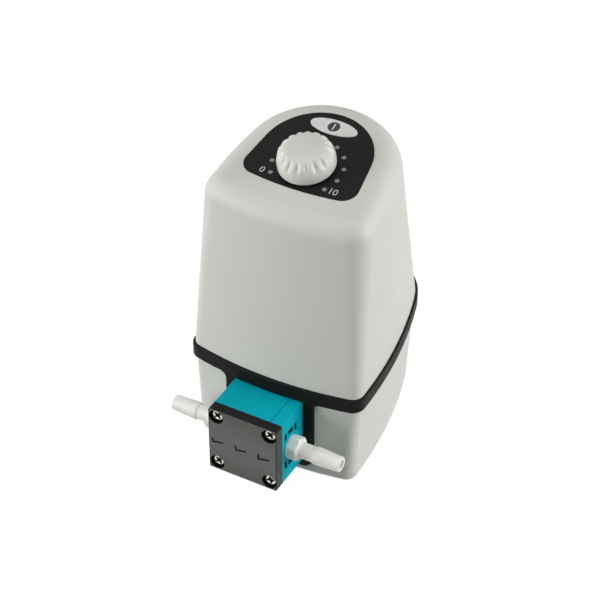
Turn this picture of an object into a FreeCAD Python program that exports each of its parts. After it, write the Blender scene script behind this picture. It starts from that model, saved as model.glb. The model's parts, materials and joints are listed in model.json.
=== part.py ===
import FreeCAD, Part
import math
import os
from collections import namedtuple

# Diaphragm liquid pump: a small pump head at the front of a tapered two-shell housing.
# Lengths are in millimetres. X runs to the right seen from the front, Y to the back, Z up.
# The origin is under the middle of the pump, on the surface that the feet stand on.

V = FreeCAD.Vector
X_AXIS = V(1, 0, 0)
Y_AXIS = V(0, 1, 0)
Z_AXIS = V(0, 0, 1)

# A housing plan is six tangent arcs: a bowed front, two corners, two sides and a round back.
Plan = namedtuple("Plan", "half_width front_r corner_r lean side_len side_turn set_back")

# Fits
run_gap = 0.04          # radial gap of a shaft that turns
fit_gap = 0.05          # gap between a fixed piece and its seat
part_gap = 0.3          # gap around the pump head where it comes through the housing
key_gap = 0.2           # gap around a button

# Housing plans, at the seam, at the underside and where the upper shell's walls are drawn to
seam_plan = Plan(59.3, 250.0, 7.4, 0.65, 105.6, 17.1, 0.0)
base_plan = Plan(55.5, 250.0, 7.4, 0.65, 100.3, 17.1, 1.3)
roof_plan = Plan(54.9, 231.0, 16.0, 1.1, 25.7, 5.7, 12.2)
roof_height = 216.5
seam_height = 65.0
wall = 3.0
lower_step = 1.0
base_edge_r = 3.6
roof_edge_r = 14.2
roof_slope = 13.7
knob_height = 198.2     # of the sloping roof at the knob's axis, above the underside
knob_back = 49.2        # of the knob's axis behind the front of the seam

# Seam band and the surround of the pump head, moulded in one
band_height = 10.0
band_web = 3.0
band_proud = 1.3
band_edge_r = 1.1
surround_half = 31.0
surround_drop = 4.7     # of its lower edge below the pump head
surround_corner_r = 8.0
surround_fillet_r = 3.6
surround_lip = 3.4
surround_proud = 2.0

# Pump head
head_side = 48.0
head_height = 35.65     # of its axis above the underside
head_reach = 30.9       # of its face in front of the seam band
plate_t = 7.3
head_body_len = 29.4
head_edge_r = 1.0
head_screw_at = 18.6
head_screw_d = 4.0
screw_head_d = 8.2
screw_head_h = 2.6
screw_hole_gap = 0.25
counterbore_d = 10.2
counterbore_depth = 3.2
thread_depth = 10.0
part_line_at = 15.5
part_line_w = 0.5

# Ports and hose connectors
port_depth = 17.75      # of the port axis behind the face
port_thread_d = 9.7
port_thread_len = 9.0
port_passage_d = 3.4
port_boss_r = 10.4
pocket_half_w = 7.4
pocket_half_h = 14.3
pocket_depth = 5.0
pocket_rib_at = 3.7
pocket_rib_t = 1.7
collar_across = 14.6
collar_d = 16.0
collar_len = 7.4
neck_d = 10.2
neck_end = 17.7         # from the side of the head
tail_d = 11.2
tail_land = 4.0
tail_tip_d = 9.9
tail_end = 35.6
tail_bore_d = 6.0
seal_section = 1.6

# Valves, between the pressure plate and the head body
valve_at = 11.0
valve_recess_d = 15.0
valve_recess_depth = 3.2
valve_d = 13.6
valve_t = 1.2
valve_lift = 0.6
valve_seat_d = 4.0
valve_by_pass_d = 2.4
valve_by_pass_margin = 0.5
valve_stop_d = 8.0

# Diaphragm and drive
stroke = 5.0
diaphragm_d = 45.0
diaphragm_t = 1.6
chamber_d = 34.0
chamber_floor_d = 29.0
clamp_d = 20.0
clamp_t = 2.5
chamber_end_gap = 0.6
rod_disc_t = 3.0
rod_stem_d = 9.0
rod_ring_d = 30.0
rod_ring_h = 6.0
bearing_bore = 15.0
bearing_od = 24.0
bearing_h = 5.0
motor_back = 34.4       # of the motor axis behind the crankcase's face
crank_bore_d = 39.0
crankcase_floor = 4.0
shaft_d = 6.0
counterweight_r = 15.0
counterweight_h = 5.0

# Motor, standing on the crankcase
motor_d = 52.0
motor_h = 62.0
motor_wall = 2.0
motor_plate_t = 8.0
motor_cap_t = 8.0
stator_h = 32.0
stator_bore = 31.0
stator_slots = 6
rotor_d = 29.6
motor_bearing_od = 19.0
motor_bearing_h = 6.0

# Bracket, rubber mounts and feet
bracket_t = 2.0
bracket_half = 38.0
bracket_lip = 8.0
mount_d = 12.0
mount_at = (31.0, 20.0)
foot_d = 12.0
foot_stand = 1.5
foot_seat = 1.2
foot_at = ((40.0, 17.5), (25.0, 119.0))      # X and distance behind the front of the seam
shell_screw_at = ((44.5, 34.0), (33.0, 98.0))
pillar_d = 11.0
pillar_join = 28.0
pillar_top = 95.0
pillar_web_t = 2.5
shell_screw_d = 4.0
shell_screw_len = 34.0
shell_head_d = 7.0
shell_head_h = 3.0

# Control panel, knob and power button, in the plane of the roof
panel_plan = Plan(38.15, 209.5, 9.8, 6.85, 20.9, 1.0, 0.0)
panel_front = 19.7      # in front of the knob's axis
panel_t = 1.4
knob_d = 36.4
knob_gap = 0.5
knob_skirt_h = 3.0
knob_shoulder_d = 35.0
knob_shoulder_h = 11.4
knob_crown_d = 18.0
knob_crown_h = 16.3
knob_top_h = 17.3
knob_bulge = 1.4        # of the shoulder beyond a straight line
knob_top_flat = 1.5
knob_lobes = 20
lobe_depth = 1.5
knob_cavity_d = 28.0
knob_cavity_h = 6.0
pot_bush_d = 8.9
pot_bush_h = 3.2
pot_shaft_d = 6.0
pot_shaft_top = 14.0
pot_d = 17.0
pot_h = 11.0
nut_across = 11.0
nut_t = 2.2
button_back = 34.0
button_half = (15.7, 5.9)
button_proud = 0.6
button_travel = 0.5
button_flange = 1.5
button_stem_d = 4.0
switch_side = 6.2
switch_h = 5.0
board_t = 1.6
board_size = (58.0, 60.0)
board_front = 16.0      # in front of the knob's axis
board_posts = ((25.0, -11.0), (22.0, 40.0))
board_post_d = 6.0
board_screw_d = 2.9

# Mains side
inlet_height = 32.0
inlet_flange = (31.0, 24.0)
inlet_flange_t = 2.5
inlet_body = (27.0, 20.0)
inlet_depth = 22.0
inlet_socket = (24.4, 16.6)
inlet_socket_depth = 16.0
inlet_corner = 4.0
inlet_pin = (2.0, 4.0)
inlet_pin_len = 14.0
inlet_pin_at = (7.0, 2.0)
recess_margin = 2.0
recess_depth = 5.0
power_board = (48.0, 52.0)
power_board_front = 74.0     # behind the front of the seam
power_board_height = 12.0
power_post_d = 7.0
part_spacing = 3.0      # from the board's edge to the transformer
transformer = (24.0, 20.0, 18.0)
capacitor_d = 14.0
capacitor_h = 26.0


# Values that follow from the ones above

def plan_frame(plan, front_y):
    """Arc centres, radii and turning angles of the right half of a plan."""
    t1 = math.asin((plan.half_width - plan.corner_r) / (plan.front_r - plan.corner_r))
    t2 = math.radians(90 + plan.lean)
    t3 = t2 + math.radians(plan.side_turn)
    side_r = plan.side_len / math.radians(plan.side_turn)
    x1, y1 = 0.0, front_y + plan.set_back + plan.front_r
    x2 = x1 + (plan.front_r - plan.corner_r) * math.sin(t1)
    y2 = y1 - (plan.front_r - plan.corner_r) * math.cos(t1)
    x3 = x2 + (plan.corner_r - side_r) * math.sin(t2)
    y3 = y2 - (plan.corner_r - side_r) * math.cos(t2)
    back_r = side_r + x3 / math.sin(t3)
    y4 = y3 - (side_r - back_r) * math.cos(t3)
    front = (x1, y1, plan.front_r, -t1, t1)
    corner = (x2, y2, plan.corner_r, t1, t2)
    side = (x3, y3, side_r, t2, t3)
    back = (0.0, y4, back_r, t3, 2 * math.pi - t3)
    return front, corner, side, back


def plan_back(plan, front_y):
    """Y of the rearmost point of a plan."""
    back = plan_frame(plan, front_y)[3]
    return back[1] + back[2]


seam_depth = plan_back(seam_plan, 0.0)
face_y = -(head_reach + seam_depth + 2 * band_proud) / 2
seam_y = face_y + head_reach + band_proud
base_z = foot_stand
seam_z = base_z + seam_height
head_z = base_z + head_height
half_side = head_side / 2
plate_back_y = face_y + plate_t
head_back_y = plate_back_y + head_body_len
case_y = head_back_y + diaphragm_t
motor_y = case_y + motor_back
port_y = face_y + port_depth
throw = stroke / 2
head_top_z = head_z + half_side
case_bottom_z = head_z - half_side
floor_z = base_z + wall
knob_y = seam_y + knob_back
knob_z = base_z + knob_height
slope = math.radians(roof_slope)
lower_top_z = seam_z - band_web / 2
upper_bottom_z = seam_z + band_web / 2
band_bottom_z = seam_z - band_height / 2
band_top_z = seam_z + band_height / 2
mirror_pair = (-1, 1)


# General shapes

def cylinder(radius, start, axis, length):
    return Part.makeCylinder(radius, length, start, axis)


def box(x0, x1, y0, y1, z0, z1):
    return Part.makeBox(x1 - x0, y1 - y0, z1 - z0, V(x0, y0, z0))


def fuse_all(shapes):
    whole = shapes[0]
    for shape in shapes[1:]:
        whole = whole.fuse(shape)
    return whole.removeSplitter()


def cut_all(shape, tools):
    for tool in tools:
        shape = shape.cut(tool)
    return shape


def revolved(points, origin, axis, across):
    """Solid turned from (distance along axis, radius) points."""
    outline = [origin + axis * along + across * radius for along, radius in points]
    face = Part.Face(Part.makePolygon(outline + [outline[0]]))
    return face.revolve(origin, axis, 360)


def ring(outer_r, inner_r, start, axis, length):
    return cylinder(outer_r, start, axis, length).cut(cylinder(inner_r, start, axis, length))


def hexagon(across_flats, start, axis, length):
    """Hexagonal prism about an axis along X or Z."""
    radius = across_flats / math.sqrt(3)
    side = Y_AXIS if abs(axis.x) > 0.5 else X_AXIS
    up = axis.cross(side)
    corners = []
    for i in range(7):
        angle = math.radians(60 * i + 30)
        corners.append(start + side * (radius * math.cos(angle)) + up * (radius * math.sin(angle)))
    return Part.Face(Part.makePolygon(corners)).extrude(axis * length)


def edges_where(shape, test):
    return [edge for edge in shape.Edges if test(edge)]


def vertical(edge):
    if not isinstance(edge.Curve, Part.Line):
        return False
    return abs(edge.tangentAt(edge.FirstParameter).z) > 0.99


def along_y(edge):
    if not isinstance(edge.Curve, Part.Line):
        return False
    return abs(edge.tangentAt(edge.FirstParameter).y) > 0.99


def arc_edge(centre_x, centre_y, radius, start, end, z, mirrored):
    """Arc whose outward direction turns from start to end, seen from straight ahead."""
    points = []
    for angle in (start, (start + end) / 2, end):
        x = centre_x + radius * math.sin(angle)
        y = centre_y - radius * math.cos(angle)
        points.append(V(-x if mirrored else x, y, z))
    if mirrored:
        points.reverse()
    return Part.Arc(*points).toShape()


def plan_wire(plan, front_y, z, inset=0.0):
    """Closed outline of a plan at height z, drawn in by inset."""
    front, corner, side, back = plan_frame(plan, front_y)
    edges = []
    for arc, mirrored in ((front, False), (corner, False), (side, False),
                          (back, False), (side, True), (corner, True)):
        x, y, radius, start, end = arc
        edges.append(arc_edge(x, y, radius - inset, start, end, z, mirrored))
    return Part.Wire(edges)


def plan_prism(plan, front_y, z0, z1, inset=0.0):
    return Part.Face(plan_wire(plan, front_y, z0, inset)).extrude(Z_AXIS * (z1 - z0))


def on_roof(shape):
    """Place a shape drawn about the knob's axis, with Z out of the roof."""
    turn = FreeCAD.Rotation(X_AXIS, roof_slope)
    shape.Placement = FreeCAD.Placement(V(0, knob_y, knob_z), turn)
    return shape


def export(name, shape):
    shape.exportStep("parts/" + name + ".step")
    print(name, len(shape.Solids), shape.isValid(), round(shape.Volume))


# Housing

def roof_block(depth):
    """Everything above the roof plane lowered by depth."""
    reach = 2 * roof_height
    block = Part.makeBox(2 * reach, 2 * reach, reach, V(-reach, -reach, -depth))
    return on_roof(block)


def upper_form(inset, z0):
    """Tapered body of the upper shell with its big rounded roof edge, drawn in by inset."""
    wires = [plan_wire(seam_plan, seam_y, seam_z, inset),
             plan_wire(roof_plan, seam_y, base_z + roof_height, inset)]
    form = Part.makeLoft(wires, True, True)
    form = form.cut(roof_block(inset))
    normal = V(0, -math.sin(slope), math.cos(slope))
    roof = [f for f in form.Faces if f.normalAt(0, 0).dot(normal) > 0.999 and f.CenterOfMass.z > seam_z + 50][0]
    form = form.makeFillet(roof_edge_r - inset, roof.Edges)
    if z0 > seam_z:
        span = 2 * roof_plan.front_r
        form = form.cut(box(-span, span, -span, span, 0, z0))
    return form


def lower_form(inset, z0, edge_r):
    """Tapered body of the lower shell, with its underside at z0, drawn in by inset."""
    top = plan_wire(seam_plan, seam_y, seam_z, inset + lower_step)
    bottom = plan_wire(base_plan, seam_y, base_z, inset)
    form = Part.makeLoft([bottom, top], True, True)
    if z0 > base_z:
        span = 2 * base_plan.front_r
        form = form.cut(box(-span, span, -span, span, 0, z0))
    edges = edges_where(form, lambda e: abs(e.BoundBox.ZMax - z0) < 0.01)
    return form.makeFillet(edge_r, edges)


def above(form, z):
    span = 2 * seam_plan.front_r
    return form.cut(box(-span, span, -span, span, 0, z))


def below(form, z):
    span = 2 * seam_plan.front_r
    return form.cut(box(-span, span, -span, span, z, 2 * roof_height))


def pillars(z0, z1, outer):
    """Four screw pillars with webs that reach the shell's wall."""
    solids = []
    for x, back in shell_screw_at:
        for side in mirror_pair:
            centre = V(side * x, seam_y + back, z0)
            solids.append(cylinder(pillar_d / 2, centre, Z_AXIS, z1 - z0))
            near, far = sorted((side * x, side * seam_plan.half_width))
            y = centre.y
            z_web = max(z0, upper_bottom_z)
            if z1 > upper_bottom_z:
                web = box(near, far, y - pillar_web_t / 2, y + pillar_web_t / 2, z_web, z1)
                solids.append(web.common(outer))
    return solids


def make_upper_housing():
    outer = upper_form(0.0, seam_z)
    shell = outer.cut(upper_form(wall, seam_z))
    solids = [above(shell, upper_bottom_z)]
    solids += pillars(base_z + pillar_join, base_z + pillar_top, above(outer, upper_bottom_z))
    for x, y in board_posts:
        for side in mirror_pair:
            post = cylinder(board_post_d / 2, V(side * x, y, -board_top_depth), Z_AXIS, board_top_depth - wall / 2)
            solids.append(on_roof(post))
    shell = fuse_all(solids)
    tools = [on_roof(panel_form(panel_t, fit_gap)),
             on_roof(cylinder(pot_bush_d / 2 + fit_gap, V(0, 0, -2 * wall), Z_AXIS, 3 * wall)),
             on_roof(button_prism(key_gap, -2 * wall, wall))]
    for x, back in shell_screw_at:
        for side in mirror_pair:
            start = V(side * x, seam_y + back, base_z + pillar_join)
            tools.append(cylinder(shell_screw_d / 2, start, Z_AXIS, shell_screw_len - pillar_join + shell_head_seat + 2))
    for x, y in board_posts:
        for side in mirror_pair:
            start = V(side * x, y, -board_top_depth)
            tools.append(on_roof(cylinder(board_screw_d / 2, start, Z_AXIS, board_top_depth - wall - 1)))
    return cut_all(shell, tools)


def opening_outline(half, bottom, corner_r, top, y0, y1):
    """Block with rounded lower corners, seen from the front."""
    block = box(-half, half, y0, y1, bottom, top)
    edges = edges_where(block, lambda e: along_y(e) and e.CenterOfMass.z < bottom + 1)
    return block.makeFillet(corner_r, edges)


def surround_outline(y0, y1):
    """Outer outline of the surround, flared into the band above it."""
    low = case_bottom_z - surround_drop
    block = opening_outline(surround_half, low, surround_corner_r, band_bottom_z + 1, y0, y1)
    flare = box(-surround_half - surround_fillet_r, surround_half + surround_fillet_r,
                y0, y1, band_bottom_z - surround_fillet_r, band_bottom_z + 1)
    for side in mirror_pair:
        corner = V(side * (surround_half + surround_fillet_r), y0, band_bottom_z - surround_fillet_r)
        flare = flare.cut(cylinder(surround_fillet_r, corner, Y_AXIS, y1 - y0))
    return block.fuse(flare)


def make_lower_housing():
    outer = lower_form(0.0, base_z, base_edge_r)
    inner = lower_form(wall, floor_z, 1.0)
    shell = below(outer.cut(inner), lower_top_z)
    back_y = recess_face_y()
    pocket_w = inlet_flange[0] / 2 + recess_margin
    pocket_h = inlet_flange[1] / 2 + recess_margin
    z = base_z + inlet_height
    block = box(-pocket_w - wall, pocket_w + wall, back_y - wall, seam_y + seam_depth,
                z - pocket_h - wall, z + pocket_h + wall)
    solids = [shell, below(block.common(outer), lower_top_z)]
    solids += pillars(base_z + wall / 2, base_z + pillar_join, outer)
    for x, y in mount_spots():
        solids.append(cylinder(mount_d / 2 + 1.5, V(x, y, base_z + 1), Z_AXIS, wall + mount_seat - 1))
    for x, y in power_posts():
        solids.append(cylinder(power_post_d / 2, V(x, y, base_z + 1), Z_AXIS, power_board_height - 1))
    shell = fuse_all(solids)
    lip_half = surround_half - surround_lip
    lip_low = case_bottom_z - surround_drop + surround_lip
    tools = [opening_outline(lip_half, lip_low, surround_corner_r - surround_lip, seam_z, face_y, case_y + wall),
             box(-pocket_w, pocket_w, back_y, seam_y + seam_depth + wall, z - pocket_h, z + pocket_h),
             box(-inlet_body[0] / 2 - fit_gap, inlet_body[0] / 2 + fit_gap, back_y - 2 * wall, back_y + 1,
                 z - inlet_body[1] / 2 - fit_gap, z + inlet_body[1] / 2 + fit_gap)]
    for x, back in shell_screw_at:
        for side in mirror_pair:
            start = V(side * x, seam_y + back, 0)
            tools.append(cylinder(shell_screw_d / 2 + screw_hole_gap, start, Z_AXIS, base_z + pillar_join + 1))
            tools.append(cylinder(shell_head_d / 2 + screw_hole_gap, start, Z_AXIS, base_z + shell_head_seat))
    for x, y in foot_spots():
        tools.append(cylinder(foot_d / 2 + fit_gap, V(x, y, 0), Z_AXIS, base_z + foot_seat))
    for x, y in mount_spots():
        tools.append(cylinder(mount_d / 2 + fit_gap, V(x, y, floor_z), Z_AXIS, wall + mount_seat))
    for x, y in power_posts():
        tools.append(cylinder(board_screw_d / 2, V(x, y, floor_z), Z_AXIS, power_board_height))
    return cut_all(shell, tools)


def make_seam_band():
    """Band that the two shells meet in, with its web between them and the head's surround."""
    band = plan_prism(seam_plan, seam_y, band_bottom_z, band_top_z, -band_proud)
    rims = edges_where(band, lambda e: not vertical(e))
    band = band.makeFillet(band_edge_r, rims)
    band = band.cut(plan_prism(seam_plan, seam_y, 0, 2 * seam_z, wall))
    outer = upper_form(0.0, seam_z)
    band = band.cut(above(outer, upper_bottom_z))
    low_solid = Part.makeLoft([plan_wire(base_plan, seam_y, base_z),
                               plan_wire(seam_plan, seam_y, seam_z, lower_step)], True, True)
    band = band.cut(below(low_solid, lower_top_z))
    proud_solid = Part.makeLoft([plan_wire(base_plan, seam_y, base_z, -surround_proud),
                                 plan_wire(seam_plan, seam_y, seam_z, lower_step - surround_proud)], True, True)
    cavity = Part.makeLoft([plan_wire(base_plan, seam_y, base_z, wall),
                            plan_wire(seam_plan, seam_y, seam_z, lower_step + wall)], True, True)
    surround = proud_solid.cut(low_solid).common(surround_outline(face_y, case_y))
    lip_half = surround_half - surround_lip - fit_gap
    lip_low = case_bottom_z - surround_drop + surround_lip + fit_gap
    lip = opening_outline(lip_half, lip_low, surround_corner_r - surround_lip, lower_top_z, face_y, case_y + wall)
    lip = lip.common(proud_solid.cut(cavity))
    whole = fuse_all([band, below(surround, seam_z), lip])
    opening = half_side + part_gap
    return whole.cut(box(-opening, opening, face_y, case_y + wall, head_z - opening, band_bottom_z - 0.05))


def recess_face_y():
    """Flat bottom of the recess that the mains inlet stands in."""
    low = plan_back(base_plan, seam_y)
    high = plan_back(seam_plan, seam_y) - lower_step
    share = inlet_height / seam_height
    return low + (high - low) * share - recess_depth


def foot_spots():
    return [(side * x, seam_y + back) for x, back in foot_at for side in mirror_pair]


def power_posts():
    half = power_board[0] / 2 - power_post_d / 2
    front = seam_y + power_board_front + power_post_d / 2
    rear = seam_y + power_board_front + power_board[1] - power_post_d / 2
    return [(side * half, y) for y in (front, rear) for side in mirror_pair]


def mount_spots():
    return [(side * mount_at[0], motor_y + end * mount_at[1]) for end in mirror_pair for side in mirror_pair]


mount_seat = 2.0
shell_head_seat = shell_head_h + 3.0
board_top_depth = pot_h + wall + 0.4


def make_rubber_feet():
    feet = []
    for x, y in foot_spots():
        foot = cylinder(foot_d / 2, V(x, y, 0), Z_AXIS, base_z + foot_seat)
        sole = edges_where(foot, lambda e: e.BoundBox.ZMax < 0.01)
        feet.append(foot.makeFillet(0.6, sole))
    return Part.makeCompound(feet)


def pan_screw(start, axis, length, shank_d, head_d, head_h):
    """Cross-head screw whose head stands back from start against the axis."""
    shank = cylinder(shank_d / 2, start, axis, length)
    head = cylinder(head_d / 2, start, -axis, head_h)
    far = start - axis * head_h
    top = edges_where(head, lambda e: (e.CenterOfMass - far).Length < 0.01)
    head = head.makeFillet(head_h * 0.45, top)
    across = X_AXIS
    side = axis.cross(across)
    slots = []
    for one, two in ((across, side), (side, across)):
        half = head_d * 0.29
        width = head_d * 0.075
        corners = [far + one * a * half + two * b * width for a, b in ((-1, -1), (1, -1), (1, 1), (-1, 1), (-1, -1))]
        slots.append(Part.Face(Part.makePolygon(corners)).extrude(axis * head_h * 0.6))
    return cut_all(head.fuse(shank), slots)


def make_housing_screws():
    screws = []
    for x, back in shell_screw_at:
        for side in mirror_pair:
            start = V(side * x, seam_y + back, base_z + shell_head_seat)
            screws.append(pan_screw(start, Z_AXIS, shell_screw_len, shell_screw_d - 2 * fit_gap,
                                    shell_head_d, shell_head_h))
    return Part.makeCompound(screws)


# Control panel, in the plane of the roof with its origin on the knob's axis

def panel_form(thickness, grow):
    face = Part.Face(plan_wire(panel_plan, -panel_front, -thickness, -grow))
    return face.extrude(Z_AXIS * (thickness + (wall if grow else 0)))


def button_prism(grow, z0, z1):
    ellipse = Part.Ellipse(V(0, button_back, z0), button_half[0] + grow, button_half[1] + grow)
    return Part.Face(Part.Wire([ellipse.toShape()])).extrude(Z_AXIS * (z1 - z0))


def make_control_panel():
    panel = panel_form(panel_t, 0.0)
    panel = panel.cut(cylinder(pot_bush_d / 2 + fit_gap, V(0, 0, -wall), Z_AXIS, 2 * wall))
    return on_roof(panel.cut(button_prism(key_gap, -wall, wall)))


def make_power_button():
    """Oval key, held from below by its flange, with a stem down to the switch."""
    key = button_prism(0.0, -wall - button_travel, button_proud)
    top = edges_where(key, lambda e: e.BoundBox.ZMin > button_proud - 0.01)
    key = key.makeFillet(button_proud * 0.7, top)
    flange_top = -wall - 0.1
    flange = button_prism(button_flange, flange_top - button_flange, flange_top)
    bottom = switch_top_z() + button_travel + 0.1
    stem = cylinder(button_stem_d / 2, V(0, button_back, bottom), Z_AXIS, -wall - bottom)
    return on_roof(fuse_all([key, flange, stem]))


def switch_top_z():
    return -board_top_depth + switch_h


def make_power_switch():
    half = switch_side / 2
    body = box(-half, half, button_back - half, button_back + half, -board_top_depth, switch_top_z() - 1)
    plunger = cylinder(button_stem_d / 2, V(0, button_back, switch_top_z() - 1), Z_AXIS, 1)
    return on_roof(body.fuse(plunger))


def make_potentiometer():
    """Body on the board, its threaded bush up through the roof and the panel."""
    body = cylinder(pot_d / 2, V(0, 0, -board_top_depth), Z_AXIS, board_top_depth - wall)
    bush = cylinder(pot_bush_d / 2, V(0, 0, -wall), Z_AXIS, wall + pot_bush_h)
    bore = cylinder(pot_shaft_d / 2 + run_gap, V(0, 0, -board_top_depth + 2), Z_AXIS, 2 * board_top_depth)
    return on_roof(body.fuse(bush).cut(bore))


def make_potentiometer_nut():
    nut = hexagon(nut_across, V(0, 0, 0), Z_AXIS, nut_t)
    return on_roof(nut.cut(cylinder(pot_bush_d / 2, V(0, 0, -1), Z_AXIS, nut_t + 2)))


def make_potentiometer_shaft():
    bottom = -board_top_depth + 2.2
    return on_roof(cylinder(pot_shaft_d / 2, V(0, 0, bottom), Z_AXIS, pot_shaft_top - bottom))


def shoulder_points():
    """Lower and upper end of the knob's shoulder, its most proud point and its outward direction."""
    low = V(knob_shoulder_d / 2, 0, knob_shoulder_h)
    high = V(knob_crown_d / 2, 0, knob_crown_h)
    run = (low - high).normalize()
    out = V(-run.z, 0, run.x)
    return low, high, (low + high) / 2 + out * knob_bulge, out


def knob_profile():
    """Outline of half the knob, with a domed crown and a round shoulder."""
    low, high, proud, out = shoulder_points()
    skirt_r = knob_d / 2
    edge_r = 0.9
    foot_in = V(skirt_r - edge_r, 0, knob_gap)
    foot_out = V(skirt_r, 0, knob_gap + edge_r)
    foot_mid = V(skirt_r - edge_r * 0.3, 0, knob_gap + edge_r * 0.3)
    skirt_top = V(skirt_r, 0, knob_skirt_h)
    crown_in = V(knob_top_flat, 0, knob_top_h)
    crown_mid = V((high.x + crown_in.x) / 2, 0, knob_top_h * 0.75 + high.z * 0.25)
    edges = [Part.makeLine(V(0, 0, knob_gap), foot_in),
             Part.Arc(foot_in, foot_mid, foot_out).toShape(),
             Part.makeLine(foot_out, skirt_top),
             Part.makeLine(skirt_top, low),
             Part.Arc(low, proud, high).toShape(),
             Part.Arc(high, crown_mid, crown_in).toShape(),
             Part.makeLine(crown_in, V(0, 0, knob_top_h)),
             Part.makeLine(V(0, 0, knob_top_h), V(0, 0, knob_gap))]
    return Part.Face(Part.Wire(edges))


def lobe_groove():
    """Straight cutter between two lobes, whose sides are arcs that leave the lobes round."""
    low, high, proud, out = shoulder_points()
    run = (low - high).normalize()
    half = math.pi * (proud.x + low.x) / 2 / knob_lobes
    arc_r = (half ** 2 + lobe_depth ** 2) / (2 * lobe_depth)
    reach = knob_d / 2
    start = proud - run * reach
    tip = start - out * lobe_depth
    edges = []
    for side in mirror_pair:
        crest = start + Y_AXIS * side * half
        centre = crest - out * arc_r
        between = ((tip - centre) + (crest - centre)).normalize()
        edges.append(Part.Arc(tip, centre + between * arc_r, crest).toShape())
        edges.append(Part.makeLine(crest, crest + out * reach))
    edges.append(Part.makeLine(start - Y_AXIS * half + out * reach, start + Y_AXIS * half + out * reach))
    outline = Part.Wire(Part.__sortEdges__(edges))
    return Part.Face(outline).extrude(run * 2 * reach)


def make_speed_knob():
    """Knob with round lobes that run out on the crown and above the skirt."""
    knob = knob_profile().revolve(V(0, 0, 0), Z_AXIS, 360)
    groove = lobe_groove()
    grooves = []
    for i in range(knob_lobes):
        copy = groove.copy()
        copy.rotate(V(0, 0, 0), Z_AXIS, 360.0 * i / knob_lobes)
        grooves.append(copy)
    cavity = cylinder(knob_cavity_d / 2, V(0, 0, knob_gap - 1), Z_AXIS, knob_cavity_h + 1)
    bore = cylinder(pot_shaft_d / 2 + fit_gap, V(0, 0, 0), Z_AXIS, pot_shaft_top + 0.3)
    return on_roof(cut_all(knob, grooves + [cavity, bore]))


def make_control_board():
    half = board_size[0] / 2
    z1 = -board_top_depth
    board = box(-half, half, -board_front, board_size[1] - board_front, z1 - board_t, z1)
    holes = [cylinder(board_screw_d / 2 + 0.1, V(side * x, y, z1 - 2 * board_t), Z_AXIS, 3 * board_t)
             for x, y in board_posts for side in mirror_pair]
    return on_roof(cut_all(board, holes))


def make_control_board_screws():
    screws = []
    for x, y in board_posts:
        for side in mirror_pair:
            start = V(side * x, y, -board_top_depth - board_t)
            screws.append(on_roof(pan_screw(start, Z_AXIS, board_t + 7, board_screw_d - fit_gap,
                                            board_screw_d * 1.9, 1.8)))
    return Part.makeCompound(screws)


# Pump head

def head_block(y0, y1):
    block = box(-half_side, half_side, y0, y1, head_z - half_side, head_z + half_side)
    return block.makeFillet(head_edge_r, edges_where(block, along_y))


def head_screw_spots():
    return [(sx * head_screw_at, head_z + sz * head_screw_at) for sx in mirror_pair for sz in mirror_pair]


def make_pressure_plate():
    plate = head_block(face_y, plate_back_y)
    solids = [plate]
    for side in mirror_pair:
        length = valve_recess_depth - valve_t - valve_lift - 0.1
        solids.append(cylinder(valve_stop_d / 2, V(side * valve_at, plate_back_y - 1, head_z), Y_AXIS, length + 1))
    tools = []
    for x, z in head_screw_spots():
        tools.append(cylinder(head_screw_d / 2 + screw_hole_gap, V(x, face_y - 1, z), Y_AXIS, plate_t + 2))
        tools.append(cylinder(counterbore_d / 2, V(x, face_y - 1, z), Y_AXIS, counterbore_depth + 1))
    return cut_all(fuse_all(solids), tools)


def side_pockets(side):
    """Ribbed pockets above and below the port's boss, on one side of the head."""
    x0, x1 = sorted((side * (half_side - pocket_depth), side * (half_side + 1)))
    pocket = box(x0, x1, port_y - pocket_half_w, port_y + pocket_half_w,
                 head_z - pocket_half_h, head_z + pocket_half_h)
    boss = cylinder(port_boss_r, V(side * (half_side + 1), port_y, head_z), X_AXIS * -side, pocket_depth + 2)
    pocket = pocket.cut(boss)
    for end in mirror_pair:
        y = port_y + end * pocket_rib_at
        pocket = pocket.cut(box(x0, x1, y - pocket_rib_t / 2, y + pocket_rib_t / 2,
                                head_z - pocket_half_h, head_z + pocket_half_h))
    return pocket


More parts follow.
